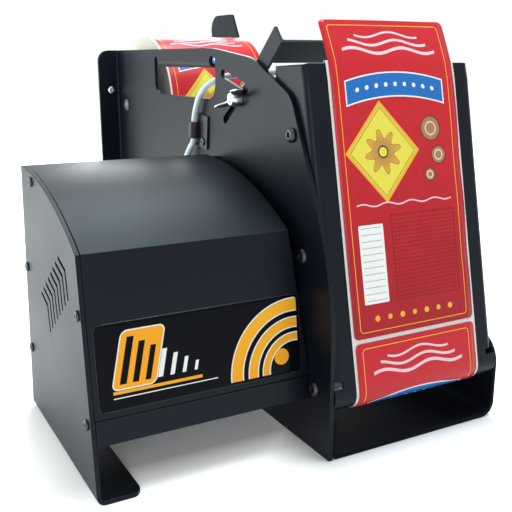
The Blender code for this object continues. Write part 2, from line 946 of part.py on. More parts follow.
# The curled lip below the relief notches, level where it joins the face
def lip_outline():
    turn = math.pi - face_lean
    outer = arc(curl_centre, curl_radius, turn, 2 * math.pi + curl_end)
    inner = arc(curl_centre, curl_radius - plate_sheet, 2 * math.pi + curl_end, turn)
    front = face_start()[0] + (relief_low - face_start()[1]) * math.tan(face_lean)
    back = front + plate_sheet / math.cos(face_lean)
    return [(front, relief_low)] + outer + inner + [(back, relief_low)]


def make_peel_plate(material):
    reach = side_back + side_back_top
    drop = curl_radius + curl_centre[1]
    mitre = math.tan((top_lean - face_lean) / 2)
    above = top_rise() + side_back * math.tan(top_lean)
    section = plate_section(reach)
    rings = [
        [lower_face()(a, b, -drop) for a, b in section],
        [lower_face()(a, b, crease_rise() - b * mitre) for a, b in section],
        [upper_face()(a, b, above) for a, b in section],
    ]
    plate = piece("peel_plate", lofted(rings), material)
    sides = (plate_left - overrun, plate_right + overrun)
    shaped(plate, prism(plate_side_outline(), *sides), "INTERSECT")
    front_cut = rectangle((-side_back, side_bottom - overrun), (side_front, relief_low))
    shaped(plate, prism(front_cut, *sides))
    notches = []
    for edge, inner in ((plate_left, plate_left + relief_reach), (plate_right, plate_right - relief_reach)):
        edges = sorted((edge + (edge - inner), inner))
        low_corner = (edges[0], -curl_radius, relief_low - overrun)
        notches.append(box(low_corner, (edges[1], side_front + overrun, relief_high)))
    shaped(plate, joined(*notches))
    shaped(plate, prism(lip_outline(), plate_left, plate_right + lip_extra), "UNION")
    holes = []
    for place in plate_screw_places:
        holes.append(hole(place, plate_screw[2] + gap, plate_left, plate_left + plate_sheet, screw_steps))
    for centre, radius in ((drive_centre, bush_radius), (pivot_centre, pivot_radius)):
        holes.append(hole(centre, radius + gap, plate_left, plate_right))
    shaped(plate, joined(*holes))


# The circles that the liner runs round, from the roll to the drive roller
def web_circles():
    edge = upper_face()(0, plate_sheet / 2, top_rise())
    return [
        (spindle_centre, roll_radius + gap),
        (curl_centre, curl_radius),
        (crease_point(), 0),
        ((edge.y, edge.z), plate_sheet / 2),
        (drive_centre, drive_radius),
    ]


def supply_line(offset):
    return taut_line(web_circles()[:3], offset, math.radians(8), 0)


# The length along the supply line at which the front label starts
def front_label_length():
    line = supply_line(label_middle)
    whole = sum((Vector(b) - Vector(a)).length for a, b in zip(line, line[1:]))
    return whole - (crease_height - label_start) / math.cos(face_lean)


def make_liner(material):
    line = taut_line(web_circles(), liner_middle, math.radians(8), math.radians(4))
    last = Vector(line[-1])
    way = (last - Vector(line[-2])).normalized()
    line.append(tuple(last + way * liner_tail))
    outline = strip_outline(line, liner_sheet)
    piece("liner_web", prism(outline, liner_left, liner_right), material)


def make_front_label(material):
    up = (crease_height - label_start) / math.cos(face_lean)
    start = lower_face()(0, -label_middle, crease_rise() - up)
    corner = lower_face()(0, -label_middle, crease_rise())
    bend = upper_face()(0, -label_middle, 0)
    edge = upper_face()(0, -label_middle, top_rise())
    free = leaning(free_lean, (edge.y, edge.z))
    end = free(0, 0, label_length - up - top_rise())
    points = [(p.y, p.z) for p in (start, corner, bend, edge, end)]
    outline = strip_outline(points, liner_sheet)
    piece("front_label", prism(outline, label_left, label_right), material)


def make_supply_labels(material):
    line = supply_line(label_middle)
    end = front_label_length() - label_pitch_gap
    for name in ("next_label", "supply_label"):
        points = stretch_of(line, end - label_length, end)
        outline = strip_outline(points, liner_sheet)
        piece(name, prism(outline, label_left, label_right), material)
        end -= label_length + label_pitch_gap


# The wound roll, its core and hub, all turning on the spindle
def spindle_pivot(x):
    return (x, *spindle_centre)


def make_roll(paper, card, plastic):
    place = round_along_x(spindle_centre)
    bore = core_radius + core_wall + gap
    sides = (liner_left, liner_right)
    wound = [(bore, sides[0]), (roll_radius, sides[0]), (roll_radius, sides[1]), (bore, sides[1])]
    piece("label_roll", turned(wound, place, 2 * round_steps), paper, spindle_pivot(liner_left))
    outer = core_radius + core_wall
    core = [(core_radius, sides[0]), (outer, sides[0]), (outer, sides[1]), (core_radius, sides[1])]
    piece("roll_core", turned(core, place, round_steps), card, spindle_pivot(liner_left))
    bore = spindle_radius + running_gap
    rim = core_radius - gap
    inner = rim - hub_wall
    middle = (liner_left + liner_right) / 2
    web = (middle - hub_web / 2, middle + hub_web / 2)
    hub = [
        (bore, liner_left), (hub_boss, liner_left), (hub_boss, web[0]), (inner, web[0]), (inner, liner_left),
        (rim, liner_left), (rim, liner_right), (inner, liner_right), (inner, web[1]), (hub_boss, web[1]),
        (hub_boss, liner_right), (bore, liner_right),
    ]
    piece("roll_hub", turned(hub, place), plastic, spindle_pivot(liner_left))


def make_spindle(steel):
    place = round_along_x(spindle_centre)
    bore = bolt_radius + gap
    depth = frame_inner + bolt_depth
    rod = [(bore, frame_inner), (spindle_radius, frame_inner), (spindle_radius, spindle_end)]
    rod += [(0, spindle_end), (0, depth), (bore, depth)]
    piece("roll_spindle", turned(rod, place), steel)
    inner = spindle_radius + gap
    right = liner_left - gap
    left = right - collar_length / 2
    collar = [(inner, left), (collar_radius, left), (collar_radius, right), (inner, right)]
    piece("stop_collar", turned(collar, place), steel)
    head = scaled(bolt_dome_shares, bolt_head_radius, -bolt_head_height, -gap)
    shank = [(bolt_radius, -gap), (bolt_radius, depth - bolt_room), (0, depth - bolt_room)]
    piece("spindle_bolt", turned(head + shank, place), steel)


def guide_pivot():
    return spindle_pivot(guide_left)


def make_roll_guide(material, plastic):
    points = [(a * guide_height, b * guide_height, r * guide_height) for a, b, r in guide_outline_shares]
    centred = [(a + spindle_centre[0], b + spindle_centre[1], r) for a, b, r in points]
    right = guide_left + guide_sheet
    guide = piece("roll_guide", prism(rounded(centred), guide_left, right), material, guide_pivot())
    collar_right = right + guide_collar
    collar = prism(circle(spindle_centre, collar_radius), right - guide_sheet / 2, collar_right)
    shaped(guide, collar, "UNION")
    shaped(guide, hole(spindle_centre, spindle_radius + running_gap, guide_left, collar_right))
    middle = right + guide_collar / 2
    stem = circle((middle, spindle_centre[0]), thumb_stem + gap, screw_steps)
    shaped(guide, prism(stem, spindle_centre[1], spindle_centre[1] + collar_radius + overrun, upright))
    base = spindle_centre[1] + collar_radius + gap
    tip = spindle_centre[1] + spindle_radius + 2 * gap
    profile = [(0, tip), (thumb_stem, tip), (thumb_stem, base)]
    profile += scaled(thumb_shares, thumb_radius, thumb_height, base)

    def place(a, b, c):
        return Vector((middle + a, spindle_centre[0] + b, c))
    piece("guide_thumbscrew", turned(profile, place, round_steps), plastic, place(0, 0, base))


# The driven roller, its shaft, bushes and pulley
def drive_pivot(x=0):
    return (x, *drive_centre)


def make_drive(rubber, steel, bronze, plastic):
    place = round_along_x(drive_centre)
    bore = shaft_radius + gap
    roller = [(bore, roller_left), (drive_radius, roller_left), (drive_radius, roller_right)]
    roller += [(bore, roller_right)]
    piece("drive_roller", turned(roller, place), rubber, drive_pivot(roller_left))
    right = plate_right + bush_lip
    chamfered = shaft_radius - shaft_chamfer
    shaft = [(0, -shaft_reach), (chamfered, -shaft_reach), (shaft_radius, shaft_chamfer - shaft_reach)]
    shaft += [(shaft_radius, right - shaft_chamfer), (chamfered, right), (0, right)]
    piece("drive_shaft", turned(shaft, place, rod_steps), steel, drive_pivot())
    bore = shaft_radius + running_gap
    left_end = plate_left + plate_sheet + bush_lip
    flange = -gap - bush_lip
    bush = [(bore, flange), (bush_flange, flange), (bush_flange, -gap), (bush_radius, -gap)]
    bush += [(bush_radius, left_end), (bore, left_end)]
    piece("bush_left", turned(bush, place), bronze)
    seat = plate_right - plate_sheet
    bush = [(bore, plate_right), (bush_radius, plate_right), (bush_radius, seat - gap)]
    bush += [(bush_flange, seat - gap), (bush_flange, seat - gap - bush_lip), (bore, seat - gap - bush_lip)]
    piece("bush_right", turned(bush, place), bronze)
    make_pulley("drive_pulley", drive_centre, drive_pulley_radius, shaft_radius, plastic)


def belt_reach():
    return (-belt_left - gap, belt_width - belt_left + gap)


def make_pulley(name, centre, radius, shaft, material):
    left, right = belt_reach()
    rim = radius + pulley_rim
    bore = shaft + gap
    profile = [
        (bore, left - pulley_side),
        (rim, left - pulley_side),
        (rim, left),
        (radius, left),
        (radius, right),
        (rim, right),
        (rim, right + pulley_side),
        (bore, right + pulley_side),
    ]
    piece(name, turned(profile, round_along_x(centre)), material, (0, *centre))


def make_belt(rubber):
    circles = [(drive_centre, drive_pulley_radius), (motor_centre, motor_pulley_radius)]
    outer = closed_belt(circles, gap + belt_sheet)
    inner = closed_belt(circles, gap)
    belt = piece("drive_belt", prism(outer, -belt_left, belt_width - belt_left), rubber)
    shaped(belt, prism(inner, -belt_left - overrun, belt_width - belt_left + overrun))


# The closed line round two pulleys
def closed_belt(circles, offset):
    (first, r1), (last, r2) = circles
    way = Vector(last) - Vector(first)
    heading = math.atan2(way.y, way.x)
    lean = math.acos((r1 - r2) / way.length)
    far = arc(last, r2 + offset, heading + lean, heading - lean)
    near = arc(first, r1 + offset, heading - lean, heading + lean - 2 * math.pi)
    return far + near


# The sprung roller that grips the liner, on its hinged arm
def make_pinch_roller(rubber):
    place = round_along_x(pinch_centre)
    arm_left = plate_left + plate_sheet + 2 * gap
    arm_right = plate_right - plate_sheet - 2 * gap
    journals = (arm_left + gap, arm_right - gap)
    profile = [
        (0, journals[0]), (pinch_journal, journals[0]), (pinch_journal, roller_left),
        (pinch_radius, roller_left), (pinch_radius, roller_right), (pinch_journal, roller_right),
        (pinch_journal, journals[1]), (0, journals[1]),
    ]
    piece("pinch_roller", turned(profile, place), rubber, (roller_left, *pinch_centre))


def make_pinch_arm(material):
    left = plate_left + plate_sheet + 2 * gap
    right = plate_right - plate_sheet - 2 * gap
    back = pivot_centre[0] + pinch_link
    low = pivot_centre[1] - pinch_bar_height - pinch_link
    link = stadium(pivot_centre, pinch_centre, pinch_link - gap)
    arm = piece("pinch_arm", prism(link, left, left + pinch_sheet), material, (0, *pivot_centre))
    shaped(arm, prism(link, right - pinch_sheet, right), "UNION")
    bar_front = back - pinch_sheet
    bar = box((left, bar_front, low), (right, back, low + pinch_bar_height))
    shaped(arm, bar, "UNION")
    for x in (left, right - pinch_sheet):
        far = (x + pinch_sheet, back - pinch_sheet / 2, low + pinch_bar_height)
        lug = box((x, pivot_centre[0], low), far)
        shaped(arm, lug, "UNION")
    middle = (left + right) / 2
    high = low + pinch_bar_height + tab_height
    sides = (middle - tab_width / 2, middle + tab_width / 2)
    tab = rectangle((sides[0], low + pinch_sheet), (sides[1], high), pinch_sheet)
    shaped(arm, prism(tab, bar_front, back, lengthwise), "UNION")
    holes = [hole(pivot_centre, pivot_radius + running_gap, left, right)]
    holes += [hole(pinch_centre, pinch_journal + running_gap, left, right, screw_steps)]
    shaped(arm, joined(*holes))


def make_pinch_pivot(steel):
    place = round_along_x(pivot_centre)
    left = plate_left
    head = plate_right + gap
    rod = [(0, left), (pivot_radius, left), (pivot_radius, head), (pivot_head, head)]
    rod += [(pivot_head, head + bush_lip), (0, head + bush_lip)]
    piece("pinch_pivot", turned(rod, place, rod_steps), steel)


# The spring's coil round the pivot, one unbroken wire
def make_pinch_spring(steel):
    radius = pivot_radius + gap + spring_wire
    pitch = 2 * spring_wire + 2 * gap
    left = plate_left + plate_sheet + 2 * gap + pinch_sheet + spring_wire + gap
    count = spring_turns * spring_points
    points = []
    for i in range(count + 1):
        angle = 2 * math.pi * i / spring_points
        back, up = on_circle(pivot_centre, radius, angle)
        points.append((left + pitch * i / spring_points, back, up))
    cord("pinch_spring", points, spring_wire, steel, 1)


# A tube along a line of points
def cord(name, points, radius, material, sides):
    curve = bpy.data.curves.new(name, "CURVE")
    curve.dimensions = "3D"
    curve.bevel_depth = radius
    curve.bevel_resolution = sides
    curve.use_fill_caps = True
    spline = curve.splines.new("POLY")
    spline.points.add(len(points) - 1)
    for point, place in zip(spline.points, points):
        point.co = (*place, 1)
    curve.materials.append(material)
    thing = bpy.data.objects.new(name, curve)
    thing.parent = machine
    bpy.context.collection.objects.link(thing)
    return thing


# The strip in the slot and the bar bent from it, as one plate
def arm_pivot():
    return (frame_inner, *stud_centre)


def make_sensor_arm(material):
    half = arm_width / 2
    inner = frame_inner + arm_sheet
    corner = arm_width * arm_end_share
    strip = rounded([
        (-arm_tail, -half, corner),
        (arm_length, -half, 0),
        (arm_length, half, 0),
        (-arm_tail, half, corner),
    ])
    arm = piece("sensor_arm", prism(strip, frame_inner, inner, on_arm), material, arm_pivot())
    section = [
        (half - arm_sheet, frame_inner, 0),
        (-half, frame_inner, arm_sheet + arm_bend),
        (-half, frame_inner + bar_reach, arm_bend),
        (arm_sheet - half, frame_inner + bar_reach, arm_bend / 2),
        (arm_sheet - half, inner, arm_bend),
        (half - arm_sheet, inner, 0),
    ]

    def place(a, b, c):
        return on_arm(c, a, b)
    bar = prism(rounded(section), arm_length - bar_height, arm_length, place)
    shaped(arm, bar, "UNION")
    clear = prism(rectangle((arm_length - bar_height, -half - overrun), (arm_length + overrun, -half)),
                  frame_inner - overrun, inner + overrun, on_arm)
    shaped(arm, clear)
    stud_hole = circle((0, 0), stud_radius + gap, screw_steps)
    shaped(arm, prism(stud_hole, frame_inner - overrun, inner + overrun, on_arm))


# The head is a block under the bar, facing the peeled label
def make_sensor_head(plastic):
    half = arm_width / 2
    right = frame_inner + bar_reach - gap
    left = right - head_width
    low = on_arm(arm_length - bar_height + arm_sheet, -half - gap, 0)
    high = on_arm(arm_length - arm_sheet, -half - gap, 0)
    front = low.y - head_depth
    bottom = high.z - head_height
    outline = [(low.y, bottom), (low.y, low.z), (high.y, high.z), (front, high.z), (front, bottom)]
    head = piece("sensor_head", prism(outline, left, right), plastic, arm_pivot())
    middle = ((left + right) / 2, (bottom + high.z) / 2)
    outline = circle(middle, lens_radius, rod_steps)
    lens = prism(outline, front - lens_proud, front + lens_proud, lengthwise)
    shaped(head, lens, "UNION")


def make_stud(steel):
    place = round_along_x(stud_centre)
    chamfer = stud_radius * stud_chamfer_share
    profile = [(0, -stud_reach), (stud_radius - chamfer, -stud_reach), (stud_radius, chamfer - stud_reach)]
    profile += [(stud_radius, stud_right)]
    profile += scaled(stud_head_shares, stud_head_radius, stud_head_height, stud_right)
    piece("sensor_stud", turned(profile, place, rod_steps), steel, arm_pivot())


def make_wing_nut(zinc):
    place = leftward(-gap, stud_centre)
    bore = stud_radius + gap
    profile = [(bore, 0)] + scaled(nut_shares, nut_radius, nut_height) + [(bore, nut_height)]
    nut = piece("wing_nut", turned(profile, place), zinc, (0, *stud_centre))
    inner = nut_radius - wing_root_inset
    low, high = [nut_height * share for share in wing_root_shares]
    edge = [(a, b, wing_sheet) for a, b in scaled(wing_shares, wing_reach, wing_height)]
    wing = rounded([(inner, low, 0)] + edge + [(inner, high, 0)])
    for turn in (0, math.pi):
        angle = wing_tilt + turn

        def wing_place(a, b, c):
            back = a * math.cos(angle) - c * math.sin(angle)
            up = a * math.sin(angle) + c * math.cos(angle)
            return place(back, up, b)
        shaped(nut, prism(wing, -wing_sheet / 2, wing_sheet / 2, wing_place), "UNION")


# The clip: a tab screwed to the side plate and a band round the lead
def clip_place(a, b, c):
    slant = clip_slant
    back = clip_centre[0] - a * math.cos(slant) - b * math.sin(slant)
    up = clip_centre[1] - a * math.sin(slant) + b * math.cos(slant)
    return Vector((-c, back, up))


def clip_axis_height():
    return gap + clip_sheet + cord_fit + cord_radius


def clip_screw_centre():
    spot = clip_place(cord_radius + cord_fit + clip_wall + clip_tab[0] / 2, -clip_screw_drop, 0)
    return (spot.y, spot.z)


def make_clip(plastic):
    half = clip_length / 2
    outer = cord_radius + cord_fit + clip_wall
    tab_end = outer + clip_tab[0]
    tab = rectangle((-outer * 0.8, -clip_tab[1] / 2), (tab_end, clip_tab[1] / 2), clip_wall)
    clip = piece("cable_clamp", prism(tab, gap, gap + clip_sheet, clip_place), plastic)

    def band_place(a, b, c):
        return clip_place(a, c, b)
    height = clip_axis_height()
    shaped(clip, prism(circle((0, height), outer), -half, half, band_place), "UNION")
    below = box((-outer - overrun, -half - overrun, -outer), (tab_end, half + overrun, gap), clip_place)
    shaped(clip, below)
    bore = cord_radius + cord_fit
    shaped(clip, prism(circle((0, height), bore), -clip_tab[1], clip_tab[1], band_place))
    spot = (cord_radius + cord_fit + clip_wall + clip_tab[0] / 2, -clip_screw_drop)
    screw_hole = circle(spot, small_screw[2] + gap, screw_steps)
    shaped(clip, prism(screw_hole, -overrun, gap + clip_sheet + overrun, clip_place))


# The sensor lead's route from the rear gland, through the clip and the window
def lead_route():
    start = on_rear_panel(*gland_place)(0, 0, gland_reach + gap)
    straight = on_rear_panel(*gland_place)(0, 0, gland_reach + cord_lead_out)
    reach = clip_length / 2 + clip_lead
    clip_ends = [clip_place(0, side * reach, clip_axis_height()) for side in (-1, 1)]
    end = head_socket()
    behind = [Vector(place) for place in lead_behind]
    ahead = [Vector(place) for place in lead_ahead]
    return [start, straight] + behind + clip_ends + ahead + [end + Vector((0, socket_lead, 0)), end]


def head_socket():
    half = arm_width / 2
    low = on_arm(arm_length - bar_height + arm_sheet, -half - gap, 0)
    high = on_arm(arm_length - arm_sheet, -half - gap, 0)
    bottom = high.z - head_height
    middle = frame_inner + bar_reach - gap - head_width / 2
    return Vector((middle, low.y + gap, bottom + cord_radius + clip_wall / 4))


# A smooth curve through the route, read at even steps
def smooth_line(route, step):
    points = [route[0]]
    for i in range(len(route) - 1):
        before = route[max(i - 1, 0)]
        first, last = route[i], route[i + 1]
        after = route[min(i + 2, len(route) - 1)]
        count = max(1, round((last - first).length / step))
        leave = (last - before) / 2
        reach = (after - first) / 2
        scale = (last - first).length
        leave = leave.normalized() * scale
        reach = reach.normalized() * scale
        for k in range(1, count + 1):
            t = k / count
            spot = first * (2 * t**3 - 3 * t**2 + 1) + leave * (t**3 - 2 * t**2 + t)
            spot += last * (3 * t**2 - 2 * t**3) + reach * (t**3 - t**2)
            points.append(spot)
    return points


def make_lead(material):
    cord("sensor_cable", smooth_line(lead_route(), cord_step), cord_radius, material, cord_sides)


# The motor, its gearbox and the bracket that holds them to the tray
def gearbox_left():
    return -belt_left - gap - pulley_side - pulley_room - bracket_sheet - 2 * gap - gearbox_length


def make_motor(steel, aluminium, plastic):
    left = gearbox_left()
    right = left + gearbox_length
    half = gearbox_size / 2
    low = (motor_centre[0] - half, motor_centre[1] - half)
    high = (motor_centre[0] + half, motor_centre[1] + half)
    gearbox = piece("gearbox", prism(rectangle(low, high, gearbox_corner), left, right), aluminium)
    shaft_end = belt_reach()[1] + pulley_side
    shaft = prism(circle(motor_centre, motor_shaft, rod_steps), right - overrun, shaft_end)
    shaped(gearbox, shaft, "UNION")
    place = round_along_x(motor_centre)
    end = board_right + max(component_heights) + motor_room + motor_cap
    can = [(0, left - gap), (motor_radius, left - gap)]
    can += scaled(motor_end_shares, motor_radius, -motor_cap, end)
    piece("motor_can", turned(can, place), steel)
    make_pulley("motor_pulley", motor_centre, motor_pulley_radius, motor_shaft, plastic)
    seat = right + gap
    floor = tray_height + cover_sheet + gap
    corners = [
        (seat + bracket_sheet, motor_centre[1] + half, 0),
        (seat + bracket_sheet, floor, 2 * bracket_sheet),
        (seat - bracket_foot, floor, 0),
        (seat - bracket_foot, floor + bracket_sheet, 0),
        (seat, floor + bracket_sheet, bracket_sheet),
        (seat, motor_centre[1] + half, 0),
    ]
    bracket = piece("motor_bracket", prism(rounded(corners), low[0], high[0], lengthwise), steel)
    shaft_hole = circle(motor_centre, motor_shaft_hole)
    shaped(bracket, prism(shaft_hole, seat - overrun, seat + bracket_sheet + overrun))


# The control board on its standoffs, with its larger components
def make_board(material):
    low = board_corner
    high = (low[0] + board_size[0], low[1] + board_size[1])
    sheet = prism(rectangle(low, high, standoff_radius), board_left, board_right)
    board = piece("control_board", sheet, material)
    inset = 2 * standoff_radius
    for back in (low[0] + inset, high[0] - inset):
        for up in (low[1] + inset, high[1] - inset):
            outline = circle((back, up), standoff_radius, leg_steps)
            leg = prism(outline, end_inner, board_left + board_sheet / 2)
            shaped(board, leg, "UNION")
    bottom, top = [low[1] + board_size[1] * share for share in component_span_shares]
    for (share, width), height in zip(component_shares, component_heights):
        start = low[0] + board_size[0] * (share - width / 2)
        end = low[0] + board_size[0] * (share + width / 2)
        block = rectangle((start, bottom), (end, top))
        part = prism(block, board_left + board_sheet / 2, board_right + height)
        shaped(board, part, "UNION")


def make_transformer(material):
    x, y = end_inner + transformer_inset, transformer_front
    floor = tray_height + cover_sheet + gap
    width, depth, height = transformer_size
    core = box((x, y, floor), (x + width, y + depth, floor + height))
    block = piece("transformer", core, material)
    inner = coil_margin
    far = (x + width - inner, floor + height - inner)
    coil = rectangle((x + inner, floor + inner), far, inner / 2)
    shaped(block, prism(coil, y - inner, y + depth, lengthwise), "UNION")


# Inlet, switch, knob and gland on the rear panel
def make_inlet(plastic):
    place = on_rear_panel(*inlet_place)
    width, height, depth = inlet_size
    half = (width / 2, height / 2)
    body = prism(rectangle((-half[0], -half[1]), half, inlet_wall), -depth, inlet_lip, place)
    inlet = piece("power_inlet", body, plastic)
    flange = (half[0] + inlet_lip, half[1] + inlet_lip)
    rim = prism(rectangle((-flange[0], -flange[1]), flange, inlet_wall), gap, inlet_lip, place)
    shaped(inlet, rim, "UNION")
    inside = (half[0] - inlet_wall, half[1] - inlet_wall)
    floor = inlet_lip - inlet_recess
    mouth = rectangle((-inside[0], -inside[1]), inside, inlet_wall)
    shaped(inlet, prism(mouth, floor, inlet_lip + overrun, place))
    wide, tall = prong_size
    rise = prong_spread / 4
    for a, b in ((-prong_spread, -rise), (0, rise), (prong_spread, -rise)):
        blade = rectangle((a - wide / 2, b - tall / 2), (a + wide / 2, b + tall / 2))
        shaped(inlet, prism(blade, floor - inlet_wall / 2, floor + prong_reach, place), "UNION")


def make_switch(plastic, bright):
    place = on_rear_panel(*switch_place)
    width, height, depth = switch_size
    half = (width / 2, height / 2)
    body = prism(rectangle((-half[0], -half[1]), half), -depth, switch_lip, place)
    bezel = piece("switch_bezel", body, plastic)
    flange = (half[0] + switch_lip, half[1] + switch_lip)
    rim = prism(rectangle((-flange[0], -flange[1]), flange, switch_lip / 2), gap, switch_lip, place)
    shaped(bezel, rim, "UNION")
    inside = (half[0] - switch_lip, half[1] - switch_lip)
    well = rectangle((-inside[0], -inside[1]), inside)
    shaped(bezel, prism(well, switch_lip - switch_well, switch_lip + overrun, place))

    def side_place(a, b, c):
        return place(c, a, b)
    pivot = (0, -rocker_pivot_depth)
    radius = inside[1] - gap
    rocker = arc(pivot, radius, math.pi - rocker_reach - rocker_tilt, math.pi + rocker_skirt)
    rocker += arc(pivot, radius, -rocker_skirt, rocker_reach - rocker_tilt)
    rocker.append((0, rocker_middle))
    width = inside[0] - gap
    piece("switch_rocker", prism(rocker, -width, width, side_place), bright, side_place(*pivot, 0))


def make_knob(plastic, steel):
    place = on_rear_panel(*knob_place)
    seat = gap + knob_lift
    bore = pot_shaft + gap
    profile = [(bore, seat)] + scaled(knob_shares, knob_radius, knob_height, seat)
    profile += [(0, seat + knob_bore), (bore, seat + knob_bore)]
    knob = piece("speed_knob", turned(profile, place), plastic, place(0, 0, seat))
    low = (-groove_width / 2, 0, seat + knob_height - groove_depth)
    high = (groove_width / 2, knob_radius, seat + knob_height + overrun)
    shaped(knob, box(low, high, place))
    back = -cover_sheet - gap
    tip = seat + knob_bore - gap
    pot = [(0, back - pot_depth), (pot_radius, back - pot_depth), (pot_radius, back)]
    pot += [(pot_shaft, back), (pot_shaft, tip), (0, tip)]
    piece("speed_pot", turned(pot, place, rod_steps), steel)


def make_gland(plastic):
    place = on_rear_panel(*gland_place)
    bore = cord_radius + cord_fit
    neck = gland_radius - cover_sheet
    back = -cover_sheet - gap
    nut = back - gland_nut
    profile = [(bore, nut), (gland_radius, nut), (gland_radius, back), (neck, back), (neck, gap)]
    profile += [(gland_radius, gap)] + scaled(gland_shares, gland_radius, gland_reach)
    profile += [(bore, gland_reach)]
    piece("cable_gland", turned(profile, place), plastic)


def make_screws(dark, zinc):
    seat_depth = plate_left + plate_sheet
    for i, centre in enumerate(plate_screw_places):
        shape = screw_shape(plate_screw, gap + seat_depth, leftward(-gap, centre))
        piece(f"plate_screw_{i + 1}", shape, dark)
    seat_depth = frame_inner + frame_sheet
    for i, centre in enumerate(base_screw_places):
        shape = screw_shape(small_screw, gap + seat_depth, leftward(-gap, centre))
        piece(f"base_screw_{i + 1}", shape, zinc)
    for i, centre in enumerate(end_screw_places()):
        length = end_sheet + 2 * gap + cover_sheet
        shape = screw_shape(small_screw, length, leftward(-housing_width - gap, centre))
        piece(f"end_screw_{i + 1}", shape, dark)

    def rear_place(a, b, c):
        seat = frame_depth - frame_sheet - gap
        return Vector((rear_screw_place[0] + a, seat - c, rear_screw_place[1] + b))
    piece("rear_screw", screw_shape(small_screw, frame_sheet + 2 * gap, rear_place), zinc)
    seat = -2 * gap - clip_sheet
    shape = screw_shape(small_screw, frame_sheet - seat, leftward(seat, clip_screw_centre()))
    piece("clamp_screw", shape, dark)


def build():
    black = finish("black_powder_coat", (0.03, 0.033, 0.038), 0.42)
    plastic = finish("black_plastic", (0.02, 0.02, 0.022), 0.5)
    nylon = finish("black_nylon", (0.025, 0.025, 0.027), 0.45)
    steel = finish("bright_steel", (0.6, 0.6, 0.62), 0.3, 1)
    zinc = finish("bright_zinc", (0.75, 0.76, 0.78), 0.25, 1)
    dark = finish("black_screw", (0.05, 0.052, 0.056), 0.35, 1)
    alloy = finish("cast_alloy", (0.5, 0.51, 0.52), 0.5, 1)
    bronze = finish("sintered_bronze", (0.42, 0.28, 0.14), 0.5, 1)
    rubber = finish("black_rubber", (0.03, 0.03, 0.03), 0.8)
    liner = finish("liner_paper", (0.85, 0.8, 0.76), 0.55)
    label = finish("red_label", (0.6, 0.03, 0.035), 0.35)
    card = finish("core_card", (0.5, 0.38, 0.25), 0.8)
    lead = finish("grey_lead", (0.55, 0.62, 0.66), 0.5)
    board = finish("green_board", (0.03, 0.2, 0.08), 0.5)
    make_side_plate(black)
    make_base(black)
    make_end_plate(black)
    make_cover(black)
    make_tray(black)
    make_rear_panel(black)
    make_peel_plate(black)
    make_liner(liner)
    make_front_label(label)
    make_supply_labels(label)
    make_roll(label, card, plastic)
    make_spindle(steel)
    make_roll_guide(black, plastic)
    make_drive(rubber, steel, bronze, plastic)
    make_belt(rubber)
    make_pinch_roller(rubber)
    make_pinch_arm(zinc)
    make_pinch_pivot(steel)
    make_pinch_spring(steel)
    make_sensor_arm(black)
    make_sensor_head(plastic)
    make_stud(zinc)
    make_wing_nut(zinc)
    make_clip(nylon)
    make_lead(lead)
    make_motor(steel, alloy, plastic)
    make_board(board)
    make_transformer(steel)
    make_inlet(plastic)
    make_switch(plastic, nylon)
    make_knob(plastic, steel)
    make_gland(nylon)
    make_screws(dark, zinc)


for old in list(bpy.data.objects):
    bpy.data.objects.remove(old)
machine = bpy.data.objects.new("machine", None)
machine.location = (-base_middle[0], -base_middle[1], 0)
bpy.context.collection.objects.link(machine)
build()
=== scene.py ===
import json
import math

import bmesh
import bpy
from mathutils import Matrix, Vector


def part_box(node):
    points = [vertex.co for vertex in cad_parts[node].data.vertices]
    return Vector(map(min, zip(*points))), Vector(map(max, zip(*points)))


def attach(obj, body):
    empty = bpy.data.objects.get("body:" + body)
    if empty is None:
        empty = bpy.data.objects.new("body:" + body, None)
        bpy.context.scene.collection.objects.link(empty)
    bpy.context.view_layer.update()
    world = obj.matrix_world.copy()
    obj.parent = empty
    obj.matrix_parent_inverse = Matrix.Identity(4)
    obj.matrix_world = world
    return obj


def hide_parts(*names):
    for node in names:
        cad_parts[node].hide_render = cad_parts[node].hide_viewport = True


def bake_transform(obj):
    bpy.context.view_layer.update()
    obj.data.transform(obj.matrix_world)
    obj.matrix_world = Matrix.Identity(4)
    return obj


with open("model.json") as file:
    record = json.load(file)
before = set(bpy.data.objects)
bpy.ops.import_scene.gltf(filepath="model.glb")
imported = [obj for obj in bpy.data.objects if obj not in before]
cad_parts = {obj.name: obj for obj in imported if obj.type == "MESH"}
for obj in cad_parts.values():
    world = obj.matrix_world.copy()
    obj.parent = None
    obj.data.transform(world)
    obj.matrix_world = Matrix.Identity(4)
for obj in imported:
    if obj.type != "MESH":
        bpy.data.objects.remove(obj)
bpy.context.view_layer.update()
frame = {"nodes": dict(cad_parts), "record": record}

nodes = frame["nodes"]
print("frame loaded:", len(nodes), "pieces")

mm = 0.001
frontCorner = Vector((-0.08585, -0.225, 0))  # where the side plate's outer face meets the front and the table


def spot(x, y, z):  # millimetres from that corner, as a place in the frame
    return frontCorner + Vector((x, y, z)) * mm


# Camera

camera = {"place": (-0.38755, -0.6627, 0.295), "tilt": 75.7, "turn": -28.65, "lens": 54.49, "sensor": 36}


def makeCamera():
    data = bpy.data.cameras.new("camera")
    data.lens = camera["lens"]
    data.sensor_width = camera["sensor"]
    data.clip_start = 0.02
    data.clip_end = 40
    thing = bpy.data.objects.new("camera", data)
    thing.location = camera["place"]
    thing.rotation_euler = (math.radians(camera["tilt"]), 0, math.radians(camera["turn"]))
    bpy.context.scene.collection.objects.link(thing)
    bpy.context.scene.camera = thing


makeCamera()


# Shader maths

def join(tree, socket, value):  # a link, or a plain value, into a socket
    if isinstance(value, Link):
        tree.links.new(value.socket, socket)
    elif hasattr(socket.default_value, "__len__") and len(socket.default_value) == 4 and len(value) == 3:
        socket.default_value = (*value, 1)
    else:
        socket.default_value = value


